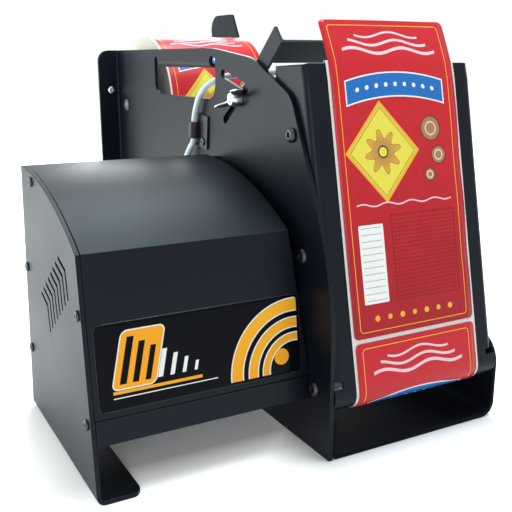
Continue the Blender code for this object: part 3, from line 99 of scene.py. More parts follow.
class Link:
    def __init__(self, tree, socket):
        self.tree = tree
        self.socket = socket

    def math(self, operation, *others, clamp=False):
        node = self.tree.nodes.new("ShaderNodeMath")
        node.operation = operation
        node.use_clamp = clamp
        for socket, value in zip(node.inputs, (self, *others)):
            join(self.tree, socket, value)
        return Link(self.tree, node.outputs[0])

    def __add__(self, other):
        return self.math("ADD", other)

    def __sub__(self, other):
        return self.math("SUBTRACT", other)

    def __mul__(self, other):
        return self.math("MULTIPLY", other)

    def __truediv__(self, other):
        return self.math("DIVIDE", other)

    def __pow__(self, other):
        return self.math("POWER", other)

    def __rsub__(self, other):
        return self.math("MULTIPLY_ADD", -1.0, other)

    def __abs__(self):
        return self.math("ABSOLUTE")

    __radd__ = __add__
    __rmul__ = __mul__

    def high(self, other):
        return self.math("MAXIMUM", other)

    def low(self, other):
        return self.math("MINIMUM", other)

    def clamp(self):
        return self.math("ADD", 0.0, clamp=True)

    def sin(self):
        return self.math("SINE")


def span(a, b):  # the length of two steps at right angles
    return (a ** 2.0 + b ** 2.0).math("SQRT")


class Shade:  # a node tree and the one way that nodes come into it
    def __init__(self, tree):
        self.tree = tree

    def make(self, kind, settings=None, sockets=None, outlet=0):
        node = self.tree.nodes.new("ShaderNode" + kind)
        for key, value in (settings or {}).items():
            setattr(node, key, value)
        for key, value in (sockets or {}).items():
            join(self.tree, node.inputs[key], value)
        return Link(self.tree, node.outputs[outlet])

    def outlets(self, kind, sockets=None):  # every outlet of a node
        first = self.make(kind, None, sockets)
        return [Link(self.tree, outlet) for outlet in first.socket.node.outputs]


class Surface(Shade):  # one material and the tools that fill it
    def __init__(self, name, roughness=0.5, metallic=0.0, colour=(0.5, 0.5, 0.5), **constants):
        self.material = bpy.data.materials.new(name)
        self.material.use_nodes = True
        super().__init__(self.material.node_tree)
        self.shader = self.tree.nodes["Principled BSDF"]
        self.set("Base Color", colour)
        self.set("Roughness", roughness)
        self.set("Metallic", metallic)
        for key, value in constants.items():
            self.set(key.replace("_", " "), value)

    def set(self, name, value):
        join(self.tree, self.shader.inputs[name], value)

    def place(self):  # the piece's own place in millimetres
        raw = self.make("TexCoord", outlet="Object")
        return self.make("VectorMath", {"operation": "SCALE"}, {0: raw, "Scale": 1 / mm})

    def apart(self, vector):
        return self.outlets("SeparateXYZ", {0: vector})

    def flat(self, u, v):  # a place on a sheet, for the noise of its finish
        return self.make("CombineXYZ", None, {0: u, 1: v})

    def stretch(self, vector, factors):
        return self.make("VectorMath", {"operation": "MULTIPLY"}, {0: vector, 1: factors})

    def noise(self, vector, grain, detail, rough=0.5):  # grain is the size of one blot in millimetres
        return self.make("TexNoise", {"noise_dimensions": "3D"},
                         {"Vector": vector, "Scale": 1 / grain, "Detail": detail, "Roughness": rough})

    def cells(self, vector, grain):
        return self.make("TexVoronoi", {"feature": "F1"}, {"Vector": vector, "Scale": 1 / grain})

    def blend(self, first, second, share):  # a Mix node's colour inlets are 6 and 7, its colour outlet 2
        return self.make("Mix", {"data_type": "RGBA"}, {0: share, 6: first, 7: second}, 2)

    def softEdge(self, radius):  # the normal of an edge broken by this radius in millimetres
        return self.make("Bevel", {"samples": 4}, {"Radius": radius * mm})

    def edgeShare(self, rounded):  # 1 on a broken edge and 0 on the flat
        flat = self.make("NewGeometry", outlet="Normal")
        same = self.make("VectorMath", {"operation": "DOT_PRODUCT"}, {0: rounded, 1: flat}, outlet="Value")
        return ((1.0 - same) * 6.0).clamp()  # full where the normals lie some 34 degrees apart

    def finish(self, colour, roughness, height, depth, strength, normal=None):  # depth in millimetres
        self.set("Base Color", colour)
        self.set("Roughness", roughness)
        sockets = {"Height": height, "Distance": depth * mm, "Strength": strength}
        if normal is not None:
            sockets["Normal"] = normal
        self.set("Normal", self.make("Bump", None, sockets))
        return self.material


# Finishes

whitePaint = (0.70, 0.70, 0.68)  # the marks on the controls at the back
coat = {"deep": (0.0030, 0.0042, 0.0085), "light": (0.0062, 0.0078, 0.0125), "worn": (0.030, 0.033, 0.037),
        "peel": 0.85, "speck": 0.16, "cloud": 60.0, "edge": 0.5, "depth": 0.016, "tint": (0.89, 1.0, 1.03),
        "satin": (0.37, 0.135), "matt": (0.62, 0.035)}  # roughness and gloss


def powderCoat(name, roughness, gloss, printed=None):  # printed gives the share of white paint
    s = Surface(name, Specular_IOR_Level=gloss, Specular_Tint=coat["tint"])
    p = s.place()
    peel = s.noise(p, coat["peel"], 2.0)
    speck = s.noise(p, coat["speck"], 1.0)
    cloud = s.noise(p, coat["cloud"], 3.0)
    scuff = s.noise(s.stretch(p, (0.2, 0.2, 1.0)), 2.4, 4.0, 0.7)
    rounded = s.softEdge(coat["edge"])
    edge = s.edgeShare(rounded)
    colour = s.blend(coat["deep"], coat["light"], (cloud * 0.7 + speck * 0.5 - 0.1).clamp())
    colour = s.blend(colour, coat["worn"], edge * (scuff * 2.4 - 0.8).clamp())
    if printed:
        colour = s.blend(colour, whitePaint, printed(s))
    return s.finish(colour,
                    (peel - 0.5) * 0.10 + (cloud - 0.5) * 0.12 + roughness - edge * 0.05,
                    peel + speck * 0.35, coat["depth"], 0.5, rounded)


mould = {"grain": 0.28, "depth": 0.02, "edge": 0.35, "gloss": 0.3}


def mouldedPlastic(name, deep, light, roughness, printed=None):
    s = Surface(name, Specular_IOR_Level=mould["gloss"])
    p = s.place()
    pit = s.cells(p, mould["grain"])
    cloud = s.noise(p, 9.0, 3.0)
    rounded = s.softEdge(mould["edge"])
    colour = s.blend(deep, light, (cloud * 0.8 + s.edgeShare(rounded) * 0.4).clamp())
    if printed:
        colour = s.blend(colour, whitePaint, printed(s))
    return s.finish(colour,
                    (cloud - 0.5) * 0.15 + pit * 0.08 + roughness,
                    pit, mould["depth"], 0.35, rounded)


turned = {"deep": (0.42, 0.42, 0.43), "light": (0.66, 0.66, 0.67), "roughness": 0.3, "pitch": 0.22,
          "depth": 0.006, "edge": 0.3}


def turnedSteel():
    s = Surface("turnedSteel", metallic=1.0)
    p = s.place()
    lines = s.noise(s.stretch(p, (1.0, 0.02, 0.02)), turned["pitch"], 3.0, 0.6)
    cloud = s.noise(p, 7.0, 3.0)
    rounded = s.softEdge(turned["edge"])
    return s.finish(s.blend(turned["deep"], turned["light"], (cloud * 0.6 + lines * 0.5).clamp()),
                    (lines - 0.5) * 0.2 + (cloud - 0.5) * 0.12 + turned["roughness"],
                    lines, turned["depth"], 0.4, rounded)


zinc = {"deep": (0.52, 0.54, 0.57), "light": (0.80, 0.82, 0.84), "warm": (0.72, 0.68, 0.58),
        "roughness": 0.33}


def zincPlate():
    s = Surface("brightZinc", metallic=1.0)
    p = s.place()
    spangle = s.cells(p, 1.3)
    cloud = s.noise(p, 5.0, 4.0)
    fine = s.noise(p, 0.12, 2.0)
    rounded = s.softEdge(0.4)
    colour = s.blend(zinc["deep"], zinc["light"], (cloud * 1.3 - 0.1).clamp())
    return s.finish(s.blend(colour, zinc["warm"], (spangle * 0.35).clamp()),
                    (fine - 0.5) * 0.2 + (spangle - 0.4) * 0.1 + zinc["roughness"],
                    fine + cloud, 0.012, 0.35, rounded)


oxide = {"flank": (0.035, 0.038, 0.042), "crown": (0.085, 0.09, 0.098), "roughness": 0.42}


def blackOxide():
    s = Surface("blackOxide", metallic=1.0)
    p = s.place()
    fine = s.noise(p, 0.15, 2.0)
    cloud = s.noise(p, 3.0, 3.0)
    rounded = s.softEdge(0.25)
    return s.finish(s.blend(oxide["flank"], oxide["crown"], (cloud * 0.9 + s.edgeShare(rounded)).clamp()),
                    (fine - 0.5) * 0.2 + oxide["roughness"],
                    fine, 0.012, 0.3, rounded)


def castAlloy():
    s = Surface("castAlloy", metallic=1.0)
    p = s.place()
    grain = s.noise(p, 0.5, 4.0, 0.7)
    cloud = s.noise(p, 12.0, 3.0)
    rounded = s.softEdge(0.8)
    return s.finish(s.blend((0.36, 0.37, 0.38), (0.6, 0.61, 0.62), (cloud * 0.6 + grain * 0.5).clamp()),
                    (grain - 0.5) * 0.25 + 0.52,
                    grain, 0.08, 0.5, rounded)


def sinteredBronze():
    s = Surface("sinteredBronze", metallic=1.0)
    p = s.place()
    pore = s.cells(p, 0.35)
    cloud = s.noise(p, 4.0, 3.0)
    rounded = s.softEdge(0.3)
    return s.finish(s.blend((0.24, 0.14, 0.06), (0.52, 0.35, 0.17), (pore + cloud * 0.4 - 0.1).clamp()),
                    (cloud - 0.5) * 0.2 + 0.46,
                    pore, 0.03, 0.4, rounded)


rubber = {"deep": (0.014, 0.014, 0.015), "dust": (0.05, 0.048, 0.046), "roughness": 0.78}


def groundRubber():
    s = Surface("groundRubber", Specular_IOR_Level=0.35)
    p = s.place()
    grind = s.noise(s.stretch(p, (1.0, 0.05, 0.05)), 0.3, 3.0, 0.6)
    dust = s.noise(p, 6.0, 4.0, 0.65)
    rounded = s.softEdge(0.4)
    return s.finish(s.blend(rubber["deep"], rubber["dust"], (dust * 1.4 - 0.5 + grind * 0.2).clamp()),
                    (grind - 0.5) * 0.15 + rubber["roughness"],
                    grind, 0.03, 0.5, rounded)


card = {"deep": (0.30, 0.205, 0.115), "light": (0.52, 0.39, 0.25), "ply": 18.0}


def woundCard():
    s = Surface("woundCard", Specular_IOR_Level=0.2)
    p = s.place()
    x, y, z = s.apart(p)
    fibre = s.noise(s.stretch(p, (0.25, 1.0, 1.0)), 0.5, 4.0, 0.65)
    ply = ((x + y * 0.35) / card["ply"]).math("FRACT")
    seam = (1.0 - ply * 30.0).clamp()
    return s.finish(s.blend(s.blend(card["deep"], card["light"], fibre), card["deep"], seam * 0.6),
                    (fibre - 0.5) * 0.15 + 0.84,
                    fibre - seam, 0.05, 0.4)


jacket = {"deep": (0.52, 0.61, 0.66), "light": (0.66, 0.76, 0.81), "roughness": 0.42}


def leadJacket():
    s = Surface("leadJacket")
    p = s.place()
    cloud = s.noise(p, 11.0, 3.0)
    fine = s.noise(p, 0.4, 2.0)
    grime = s.noise(p, 3.0, 5.0, 0.7)
    colour = s.blend(jacket["deep"], jacket["light"], (cloud * 1.2 - 0.1).clamp())
    return s.finish(s.blend(colour, (0.26, 0.28, 0.30), (grime * 2.5 - 1.45).clamp() * 0.5),
                    (fine - 0.5) * 0.1 + (cloud - 0.5) * 0.1 + jacket["roughness"],
                    fine, 0.02, 0.25)


hidden = {"boardFace": 12.4, "coilFront": 6.0, "windowDepth": 0.72, "bladeAcross": 8.0, "bladeHigh": 4.6,
          "bladeReach": (6.6, 16.6)}  # places of finishes on the parts inside and at the back


def solderResist():
    s = Surface("solderResist")
    p = s.place()
    x, y, z = s.apart(p)
    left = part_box("control_board")[0].x / mm + hidden["boardFace"]  # the board's own face, past its standoffs
    track = s.make("TexBrick", {"offset": 0.5}, {"Vector": s.flat(y, z), "Scale": 0.16, "Mortar Size": 0.03,
                   "Color1": (0, 0, 0), "Color2": (0, 0, 0), "Mortar": (1, 1, 1)})
    share = s.make("RGBToBW", None, {0: track})
    parts = ((x - left) * 4.0).clamp()
    block = s.cells(s.stretch(p, (0.01, 1.0, 1.0)), 9.0)
    green = s.blend((0.008, 0.09, 0.035), (0.03, 0.2, 0.09), share)
    return s.finish(s.blend(green, s.blend((0.02, 0.02, 0.022), (0.12, 0.11, 0.1), block), parts),
                    parts * 0.2 + share * 0.1 + 0.32,
                    share, 0.05, 0.4)


def laminatedCore():  # the transformer's stacked steel and its taped coil
    s = Surface("laminatedCore")
    p = s.place()
    x, y, z = s.apart(p)
    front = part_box("transformer")[0].y / mm + hidden["coilFront"]
    sheets = (y / 0.9).math("FRACT")
    tape = ((front - y) * 6.0).clamp()
    cloud = s.noise(p, 4.0, 4.0)
    steel = s.blend((0.09, 0.092, 0.1), (0.24, 0.245, 0.26), (abs(sheets - 0.5) * 1.4 + cloud * 0.3).clamp())
    s.set("Metallic", (1.0 - tape) * 0.9)
    return s.finish(s.blend(steel, s.blend((0.5, 0.36, 0.05), (0.62, 0.48, 0.1), cloud), tape),
                    (cloud - 0.5) * 0.2 + 0.45,
                    (sheets * 8.0).clamp() * (1.0 - tape) + cloud * 0.2, 0.12, 0.5)


def headShell():  # the sensor head's black case and dark red window
    s = Surface("sensorShell")
    p = s.place()
    x, y, z = s.apart(p)
    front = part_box("sensor_head")[0].y / mm + hidden["windowDepth"]
    window = ((front - y) * 12.0).clamp()
    pit = s.cells(p, 0.3)
    cloud = s.noise(p, 8.0, 3.0)
    rounded = s.softEdge(0.5)
    shell = s.blend((0.011, 0.011, 0.012), (0.024, 0.024, 0.026), cloud)
    return s.finish(s.blend(shell, (0.10, 0.004, 0.006), window),
                    (1.0 - window) * (pit * 0.08 + 0.42) + window * 0.08,
                    pit * (1.0 - window), 0.02, 0.35, rounded)


def inletShell():  # the mains inlet's case, with bright blades in its recess
    s = Surface("inletShell")
    p = s.place()
    low, high = [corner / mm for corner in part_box("power_inlet")]
    x, y, z = s.apart(p)
    centre = (low + high) / 2
    across = ((abs(x - centre.x) - hidden["bladeAcross"]) * -4.0).clamp()
    across = across * ((abs(z - centre.z) - hidden["bladeHigh"]) * -4.0).clamp()
    near, far = (high.y - reach for reach in hidden["bladeReach"])
    blade = across * (((near - y) * 2.0).clamp() * ((y - far) * 2.0).clamp())
    pit = s.cells(p, 0.3)
    cloud = s.noise(p, 6.0, 3.0)
    rounded = s.softEdge(0.4)
    case = s.blend((0.012, 0.012, 0.013), (0.028, 0.028, 0.03), cloud)
    s.set("Metallic", blade)
    return s.finish(s.blend(case, (0.68, 0.66, 0.6), blade),
                    (1.0 - blade) * 0.2 + pit * 0.08 + 0.25,
                    pit * (1.0 - blade), 0.02, 0.35, rounded)


# The web: a pale liner that carries printed film labels

liner = {"deep": (0.60, 0.56, 0.52), "light": (0.76, 0.72, 0.68), "roughness": 0.42}
label = {"width": 117.6, "length": 241.3, "gap": 3.2, "corner": 4.0, "roughness": 0.26, "gloss": 0.22}
pitch = label["length"] + label["gap"]
web = {"left": 24.7, "right": 142.3}
roll = {"centre": (418.0, 244.0), "radius": 75.0, "bore": 41.4, "turn": 0.55, "printed": 221.2}
ink = {"red": (0.560, 0.018, 0.027), "shade": (0.330, 0.011, 0.018), "gold": (0.82, 0.44, 0.045),
       "yellow": (0.80, 0.68, 0.085), "pink": (0.82, 0.58, 0.63), "tan": (0.40, 0.20, 0.085),
       "brown": (0.095, 0.032, 0.018), "blue": (0.016, 0.15, 0.47), "white": (0.86, 0.85, 0.82),
       "fine": (0.20, 0.008, 0.012), "grey": (0.20, 0.19, 0.19)}


def linerColour(s, u, v):
    fibre = s.noise(s.stretch(s.flat(u, v), (1.0, 0.3, 1.0)), 0.7, 4.0, 0.65)
    return s.blend(liner["deep"], liner["light"], (fibre * 1.2).clamp()), fibre


def fill(distance, soft=0.12):  # 1 inside a shape, from its distance in millimetres
    return (0.5 - distance / soft).clamp()


def stripe(distance, half):
    return fill(abs(distance) - half)


def disc(u, v, centre, radius):
    return span(u - centre[0], v - centre[1]) - radius


def slab(u, v, centre, half, corner):
    a = abs(u - centre[0]) - (half[0] - corner)
    b = abs(v - centre[1]) - (half[1] - corner)
    return span(a.high(0.0), b.high(0.0)) + a.high(b).low(0.0) - corner


class InkLayers:  # colours laid one on another, each by its share
    def __init__(self, s, colour):
        self.s = s
        self.colour = colour

    def add(self, tint, share):
        self.colour = self.s.blend(self.colour, tint, share)


# White paint on the controls at the back

dial = {"reach": 12.6, "tick": 1.3, "line": 0.32, "step": 27.0, "sweep": 136.0}
rocker = {"bar": 4.2, "half": 1.5, "ring": 1.4}


def fromMiddle(s, node):  # across and up from the middle of a piece on the rear panel
    x, y, z = s.apart(s.place())
    low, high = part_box(node)
    middle = (low + high) / 2 / mm
    return x - middle.x, z - middle.z


def dialMarks(s):  # a scale of short lines round the speed knob
    a, b = fromMiddle(s, "speed_knob")
    reach = span(a, b)
    turn = a.math("ARCTAN2", b)
    part = turn / math.radians(dial["step"])
    beside = abs(part - part.math("ROUND")) * math.radians(dial["step"]) * reach
    ring = stripe(reach - dial["reach"], dial["tick"])
    return fill(beside - dial["line"]) * ring * fill((abs(turn) - math.radians(dial["sweep"])) * 20.0)


def knobLine(s):
    a, b = fromMiddle(s, "speed_knob")
    return stripe(a, dial["line"] * 1.5) * fill(1.6 - b)


def rockerMarks(s):  # a bar for on and a ring for off
    a, b = fromMiddle(s, "switch_rocker")
    bar = stripe(a, dial["line"]) * stripe(b - rocker["bar"], rocker["half"])
    return bar.high(stripe(disc(a, b, (0.0, -rocker["bar"]), rocker["ring"]), dial["line"]))


motif = {"frame": ((52.6, 116.2), 3.0), "wave": (216.0, 6.6), "bow": 190.0, "diamond": ((-17.0, 139.0), 35.0),
         "rings": (((31.0, 155.0), 10.0), ((37.0, 134.0), 7.4), ((27.0, 119.0), 5.4)), "ripple": 99.5,
         "dots": ((16.0, 58.0), (31.5, 33.0)), "panel": ((-35.0, 55.0), (11.5, 30.0)),
         "beads": (-36.0, 12.0, 13.5)}


def printedArt(s, u, v):  # a plain geometric print of the builder's own
    tone = s.noise(s.flat(u, v), 38.0, 3.0)
    # the red darkens towards the label's lower end, where v is 0: painted shade, as if lit from above, laid
    # over a random tone
    art = InkLayers(s, s.blend(ink["shade"], ink["red"], (tone * 0.7 + v * 0.005 - 0.15).clamp()))
    half, corner = motif["frame"]
    art.add(ink["gold"], stripe(slab(u, v, (0, label["length"] / 2), half, corner), 0.32))
    lowest, apart = motif["wave"]
    for i in range(3):  # waves near the leading edge
        wave = v - (lowest + i * apart) - (u * 0.135 + i * 0.6).sin() * 2.3
        art.add(ink["pink"], stripe(wave, 1.25 - i * 0.2) * fill(abs(u) - (44.0 - i * 7.0), 0.4))
    bow = v - motif["bow"] + (u * 0.055) ** 2.0  # a bowed blue band with pale dots
    art.add(ink["white"], stripe(bow, 9.6) * fill(abs(u) - 47.0))
    art.add(ink["blue"], stripe(bow, 8.5) * fill(abs(u) - 45.9))
    cell = (u / 9.0).math("ROUND") * 9.0
    art.add(ink["white"], fill(disc(u, bow, (cell, 0.0), 1.7)) * fill(abs(u) - 41.0))
    (right, up), size = motif["diamond"]  # a diamond with a flower in it
    a, b = u - right, v - up
    diamond = (abs(a) + abs(b) * 0.9) - size
    art.add(ink["gold"], fill(diamond))
    art.add(ink["yellow"], fill(diamond + 3.2))
    art.add(ink["brown"], stripe(diamond + 4.6, 0.3))
    angle = b.math("ARCTAN2", a)
    reach = span(a, b)
    petal = reach - (angle * 8.0).sin() * 3.6 - 13.2
    art.add(ink["brown"], fill(petal - 0.5))
    art.add(s.blend(ink["tan"], ink["gold"], (reach / 22.0).clamp()), fill(petal))
    art.add(ink["brown"], fill(reach - 4.9))
    art.add(ink["yellow"], fill(reach - 3.7))
    for centre, radius in motif["rings"]:
        ring = disc(u, v, centre, radius)
        art.add(ink["brown"], fill(ring))
        art.add(ink["tan"], fill(ring + 0.9))
        art.add(ink["pink"], stripe(ring + radius * 0.5, 0.55))
    art.add(ink["pink"], stripe(v - motif["ripple"] - (u * 0.27).sin() * 1.1, 0.55) * fill(abs(u) - 46.0))
    dots = disc(u, v, ((u / 2.9).math("ROUND") * 2.9, (v / 3.1).math("ROUND") * 3.1), 0.72)
    field = slab(u, v, *motif["dots"], 1.0)
    art.add(ink["fine"], fill(dots, 0.3) * fill(field))
    art.add(ink["fine"], stripe(field, 0.22))
    panel = slab(u, v, *motif["panel"], 1.2)
    art.add(ink["white"], fill(panel))
    ruled = (v / 5.0).math("FRACT") - 0.5
    art.add(ink["grey"], stripe(ruled * 5.0, 0.2) * fill(panel + 2.0))
    first, step, up = motif["beads"]
    for i in range(7):
        art.add(ink["gold"], fill(disc(u, v, (first + i * step, up), 2.3 - 0.3 * (i % 2))))
    return art.colour


def webPlace(s):  # the place on its sheet that each corner carries, in millimetres
    return s.apart(s.make("Attribute", {"attribute_name": "web"}, outlet="Vector"))[:2]


def filmLabel():  # label film alone: u runs across it and v along it
    s = Surface("printedFilm", Specular_IOR_Level=label["gloss"])
    u, v = webPlace(s)
    p = s.flat(u, v)
    ripple = s.noise(p, 16.0, 3.0)
    fine = s.noise(p, 0.8, 2.0)
    return s.finish(printedArt(s, u, v),
                    (ripple - 0.5) * 0.12 + (fine - 0.5) * 0.05 + label["roughness"],
                    ripple + fine * 0.04, 0.35, 0.35)


def linerPaper():
    s = Surface("linerPaper")
    p = s.place()
    x, y, z = s.apart(p)
    colour, fibre = linerColour(s, x, y + z)
    return s.finish(colour,
                    (fibre - 0.5) * 0.12 + liner["roughness"],
                    fibre, 0.02, 0.3, s.softEdge(0.15))


def wrappedWeb(leave):  # the roll's outer turn, from the angle where the web leaves it
    s = Surface("wrappedWeb", Specular_IOR_Level=label["gloss"])
    x, y, z = s.apart(s.place())
    centre = spot((web["left"] + web["right"]) / 2, *roll["centre"]) / mm
    u = x - centre.x
    angle = (z - centre.z).math("ARCTAN2", y - centre.y)
    length = ((angle - leave) / (2 * math.pi)).math("FRACT") * (-2 * math.pi * roll["radius"])
    v = (length + roll["printed"]).math("FLOORED_MODULO", pitch)
    edge = slab(u, v, (0.0, label["length"] / 2), (label["width"] / 2, label["length"] / 2), label["corner"])
    on = fill(edge)
    paper, fibre = linerColour(s, u, length)
    smoother = label["roughness"] - liner["roughness"]
    return s.finish(s.blend(paper, printedArt(s, u, v), on),
                    on * smoother + (fibre - 0.5) * 0.1 + liner["roughness"],
                    on + fibre * 0.1, 0.12, 0.6)


def rollSide():  # the edges of many turns, pale with a trace of red
    s = Surface("rollSide", Specular_IOR_Level=0.3)
    p = s.place()
    x, y, z = s.apart(p)
    centre = spot(0, *roll["centre"]) / mm
    reach = span(y - centre.y, z - centre.z)
    turn = (reach / roll["turn"]).math("FRACT")
    outward = s.flat(reach, 0.0)
    line = s.noise(outward, 0.5, 4.0, 0.75)
    broad = s.noise(outward, 5.0, 3.0)
    cloud = s.noise(p, 22.0, 3.0)
    paper = s.blend((0.50, 0.455, 0.37), (0.80, 0.765, 0.68), (line * 0.8 + broad * 0.5 - 0.1).clamp())
    thin = (1.0 - turn * 6.0).clamp()
    return s.finish(s.blend(paper, (0.55, 0.16, 0.13), thin * (broad * 0.5)),
                    (cloud - 0.5) * 0.15 + 0.72,
                    line + turn * 0.4, 0.12, 0.6)


decal = {"left": -165.4, "low": 63.2, "wide": 159.6, "tall": 61.0, "corner": 5.0, "sheet": 0.18, "lean": 6.75,
         "front": 23.2, "sunk": 0.02, "columns": 60, "rows": 24, "gloss": 0.05, "roughness": 0.16,
         "arcs": ((49.0, 4.4), (35.5, 3.4), (24.5, 2.6)), "block": ((22.6, 34.5), (15.4, 19.5)), "bars": 7,
         "ground": (0.0018, 0.0026, 0.0045), "orange": (0.91, 0.375, 0.022), "white": (0.82, 0.82, 0.80)}


def decalFilm():  # gloss black film with plain orange and white shapes
    s = Surface("glossDecal", Specular_IOR_Level=decal["gloss"])
    u, v = webPlace(s)
    cloud = s.noise(s.flat(u, v), 20.0, 3.0)
    art = InkLayers(s, s.blend(decal["ground"], (0.0028, 0.0033, 0.005), cloud))
    wide, tall = decal["wide"], decal["tall"]
    middle = (wide / 2, tall / 2)
    rim = slab(u, v, middle, middle, decal["corner"])
    art.add((0.05, 0.052, 0.056), stripe(rim + 0.5, 0.22))
    inner = fill(rim + 2.6)
    for radius, half in decal["arcs"]:  # nested in one corner
        arc = disc(u, v, (wide - 6.0, 4.0), radius)
        art.add(decal["white"], stripe(arc, half + 0.9) * inner)
        art.add(s.blend(decal["orange"], (0.95, 0.46, 0.03), (v / tall).clamp()), stripe(arc, half) * inner)
    art.add(decal["orange"], fill(disc(u, v, (wide - 17.0, 14.5), 6.2)))
    across = u - v * 0.24
    block = slab(across, v, *decal["block"], 4.0)
    art.add(decal["white"], fill(block - 0.9))
    art.add(decal["orange"], fill(block))
    for i in range(decal["bars"]):  # leaning, tall to short, the first three on the orange block
        bar = stripe(across - 14.0 - i * 9.0, 2.5 - i * 0.22) * fill(v - (50.0 - i * 4.2)) * fill(18.0 - v)
        art.add(decal["ground"] if i < 3 else decal["white"], bar)
    art.add(decal["orange"], stripe(v - 12.6, 1.1) * fill(abs(u - 44.0) - 33.0))
    art.add(decal["white"], stripe(v - 8.8, 0.35) * fill(abs(u - 50.0) - 39.0))
    return s.finish(art.colour,
                    (cloud - 0.5) * 0.06 + decal["roughness"],
                    cloud, 0.12, 0.25)


plainBlack = (0.011, 0.011, 0.012), (0.026, 0.026, 0.028)
black = powderCoat("satinPowderCoat", *coat["satin"])
baseBlack = powderCoat("mattPowderCoat", *coat["matt"])
blackPlastic = mouldedPlastic("blackPlastic", *plainBlack, 0.44)
nylon = mouldedPlastic("blackNylon", (0.012, 0.012, 0.0135), (0.03, 0.03, 0.033), 0.36)
steel = turnedSteel()
bright = zincPlate()
panelBlack = powderCoat("printedPowderCoat", *coat["satin"], dialMarks)
knobBlack = mouldedPlastic("knobPlastic", *plainBlack, 0.44, knobLine)
rockerBlack = mouldedPlastic("rockerPlastic", *plainBlack, 0.36, rockerMarks)
screwBlack = blackOxide()
film = filmLabel()
paperWeb = linerPaper()
finishes = {"black_powder_coat": black, "black_plastic": blackPlastic, "black_nylon": nylon,
            "bright_steel": steel, "bright_zinc": bright, "black_screw": screwBlack,
            "cast_alloy": castAlloy(), "sintered_bronze": sinteredBronze(), "black_rubber": groundRubber(),
            "liner_paper": paperWeb, "red_label": film, "core_card": woundCard(), "grey_lead": leadJacket(),
            "green_board": solderResist()}
special = {"transformer": laminatedCore(), "sensor_head": headShell(), "power_inlet": inletShell(),
           "spindle_bolt": screwBlack, "base_channel": baseBlack, "rear_panel": panelBlack,
           "speed_knob": knobBlack, "switch_rocker": rockerBlack}


def dressFrame():
    for entry in frame["record"]["subparts"]:
        thing = nodes[entry["node"]]
        material = special.get(entry["node"], finishes[entry["material_slot"]])
        for place in thing.material_slots:
            place.material = material


dressFrame()
print("finishes made:", len(bpy.data.materials))


# Mesh tools

def camel(node):  # a node's name as a piece's name
    first, *others = node.split("_")
    return first + "".join(word.capitalize() for word in others)


def meshPiece(name, shape, materials, body, replaced, slotName, sharp):
    mesh = bpy.data.meshes.new(name)
    shape.to_mesh(mesh)
    shape.free()
    for material in materials:
        mesh.materials.append(material)
    mesh.shade_smooth()
    mesh.set_sharp_from_angle(angle=math.radians(sharp))
    thing = bpy.data.objects.new(name, mesh)
    bpy.context.scene.collection.objects.link(thing)
    if body:  # a piece that bends between two bodies rides on neither
        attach(thing, body)
    if replaced:
        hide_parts(*replaced)
    return thing


def skin(shape, rings, closed=False, material=0):  # quads between rows of corners
    for near, far in zip(rings, rings[1:]):
        count = len(near)
        for i in range(count if closed else count - 1):
            j = (i + 1) % count
            corners = [near[i], near[j], far[j], far[i]]
            face = shape.faces.new(list(dict.fromkeys(corners)))
            face.material_index = material


def ringOf(shape, count, place):  # a closed row of corners, from the place at each angle
    return [shape.verts.new(place(2 * math.pi * i / count)) for i in range(count)]


def webSheet(rows, columns, place, mark):  # a sheet of rows by columns that carries its own web place
    shape = bmesh.new()
    layer = shape.verts.layers.float_vector.new("web")
    grid = []
    for i in range(rows):
        line = []
        for j in range(columns):
            corner = shape.verts.new(place(i, j))
            corner[layer] = mark(i, j)
            line.append(corner)
        grid.append(line)
    skin(shape, grid)
    return shape


def thicken(thing, thickness, outward):
    change = thing.modifiers.new("sheet", "SOLIDIFY")
    change.thickness = thickness * mm
    change.offset = outward


def cornerInset(near, corner):  # how far a round corner draws the side in, this near to the end
    return corner - math.sqrt(corner ** 2 - (corner - near) ** 2) if near < corner else 0.0


# Copies of the frame's own parts with broken edges and smooth bends

edges = {"sharp": 34, "steps": 2, "weld": 0.004, "flat": 0.4,
         "sheet": ["base_channel", "end_plate", "housing_cover", "housing_tray", "main_side_plate",
                   "peel_plate", "rear_panel", "roll_guide", "sensor_arm", "motor_bracket", "pinch_arm"],
         "round": ["bush_left", "bush_right", "cable_clamp", "cable_gland", "drive_belt", "drive_pulley",
                   "drive_roller", "drive_shaft", "gearbox", "guide_thumbscrew", "motor_can", "motor_pulley",
                   "pinch_pivot", "pinch_roller", "pinch_spring", "power_inlet", "roll_core", "roll_hub",
                   "roll_spindle", "sensor_head", "sensor_stud", "speed_knob", "speed_pot", "spindle_bolt",
                   "stop_collar", "switch_bezel", "switch_rocker", "transformer", "control_board"],
         "breaks": {"sheet": 0.32, "round": 0.22}}
bodyOf = {node: body for body, group in frame["record"]["behaviour"]["bodies"].items() for node in group}
slotOf = {entry["node"]: entry["material_slot"] for entry in frame["record"]["subparts"]}
flangeDrop = {"node": "peel_plate", "above": 290.0, "bendSide": 6.0, "bendBack": 56.69, "middle": 83.0,
              "half": 79.3, "drop": 2.4}


def dropFlanges(shape):  # rounds the plate's top corners down to its side flanges
    for vert in shape.verts:
        x, y, z = (vert.co - frontCorner) / mm
        inward = abs(x - flangeDrop["middle"]) - (flangeDrop["half"] - flangeDrop["bendSide"])
        if z > flangeDrop["above"] and inward > 0:
            turn = math.atan2(inward, max(0.0, flangeDrop["bendBack"] - y))
            vert.co.z -= flangeDrop["drop"] * (1 - math.cos(turn)) * mm


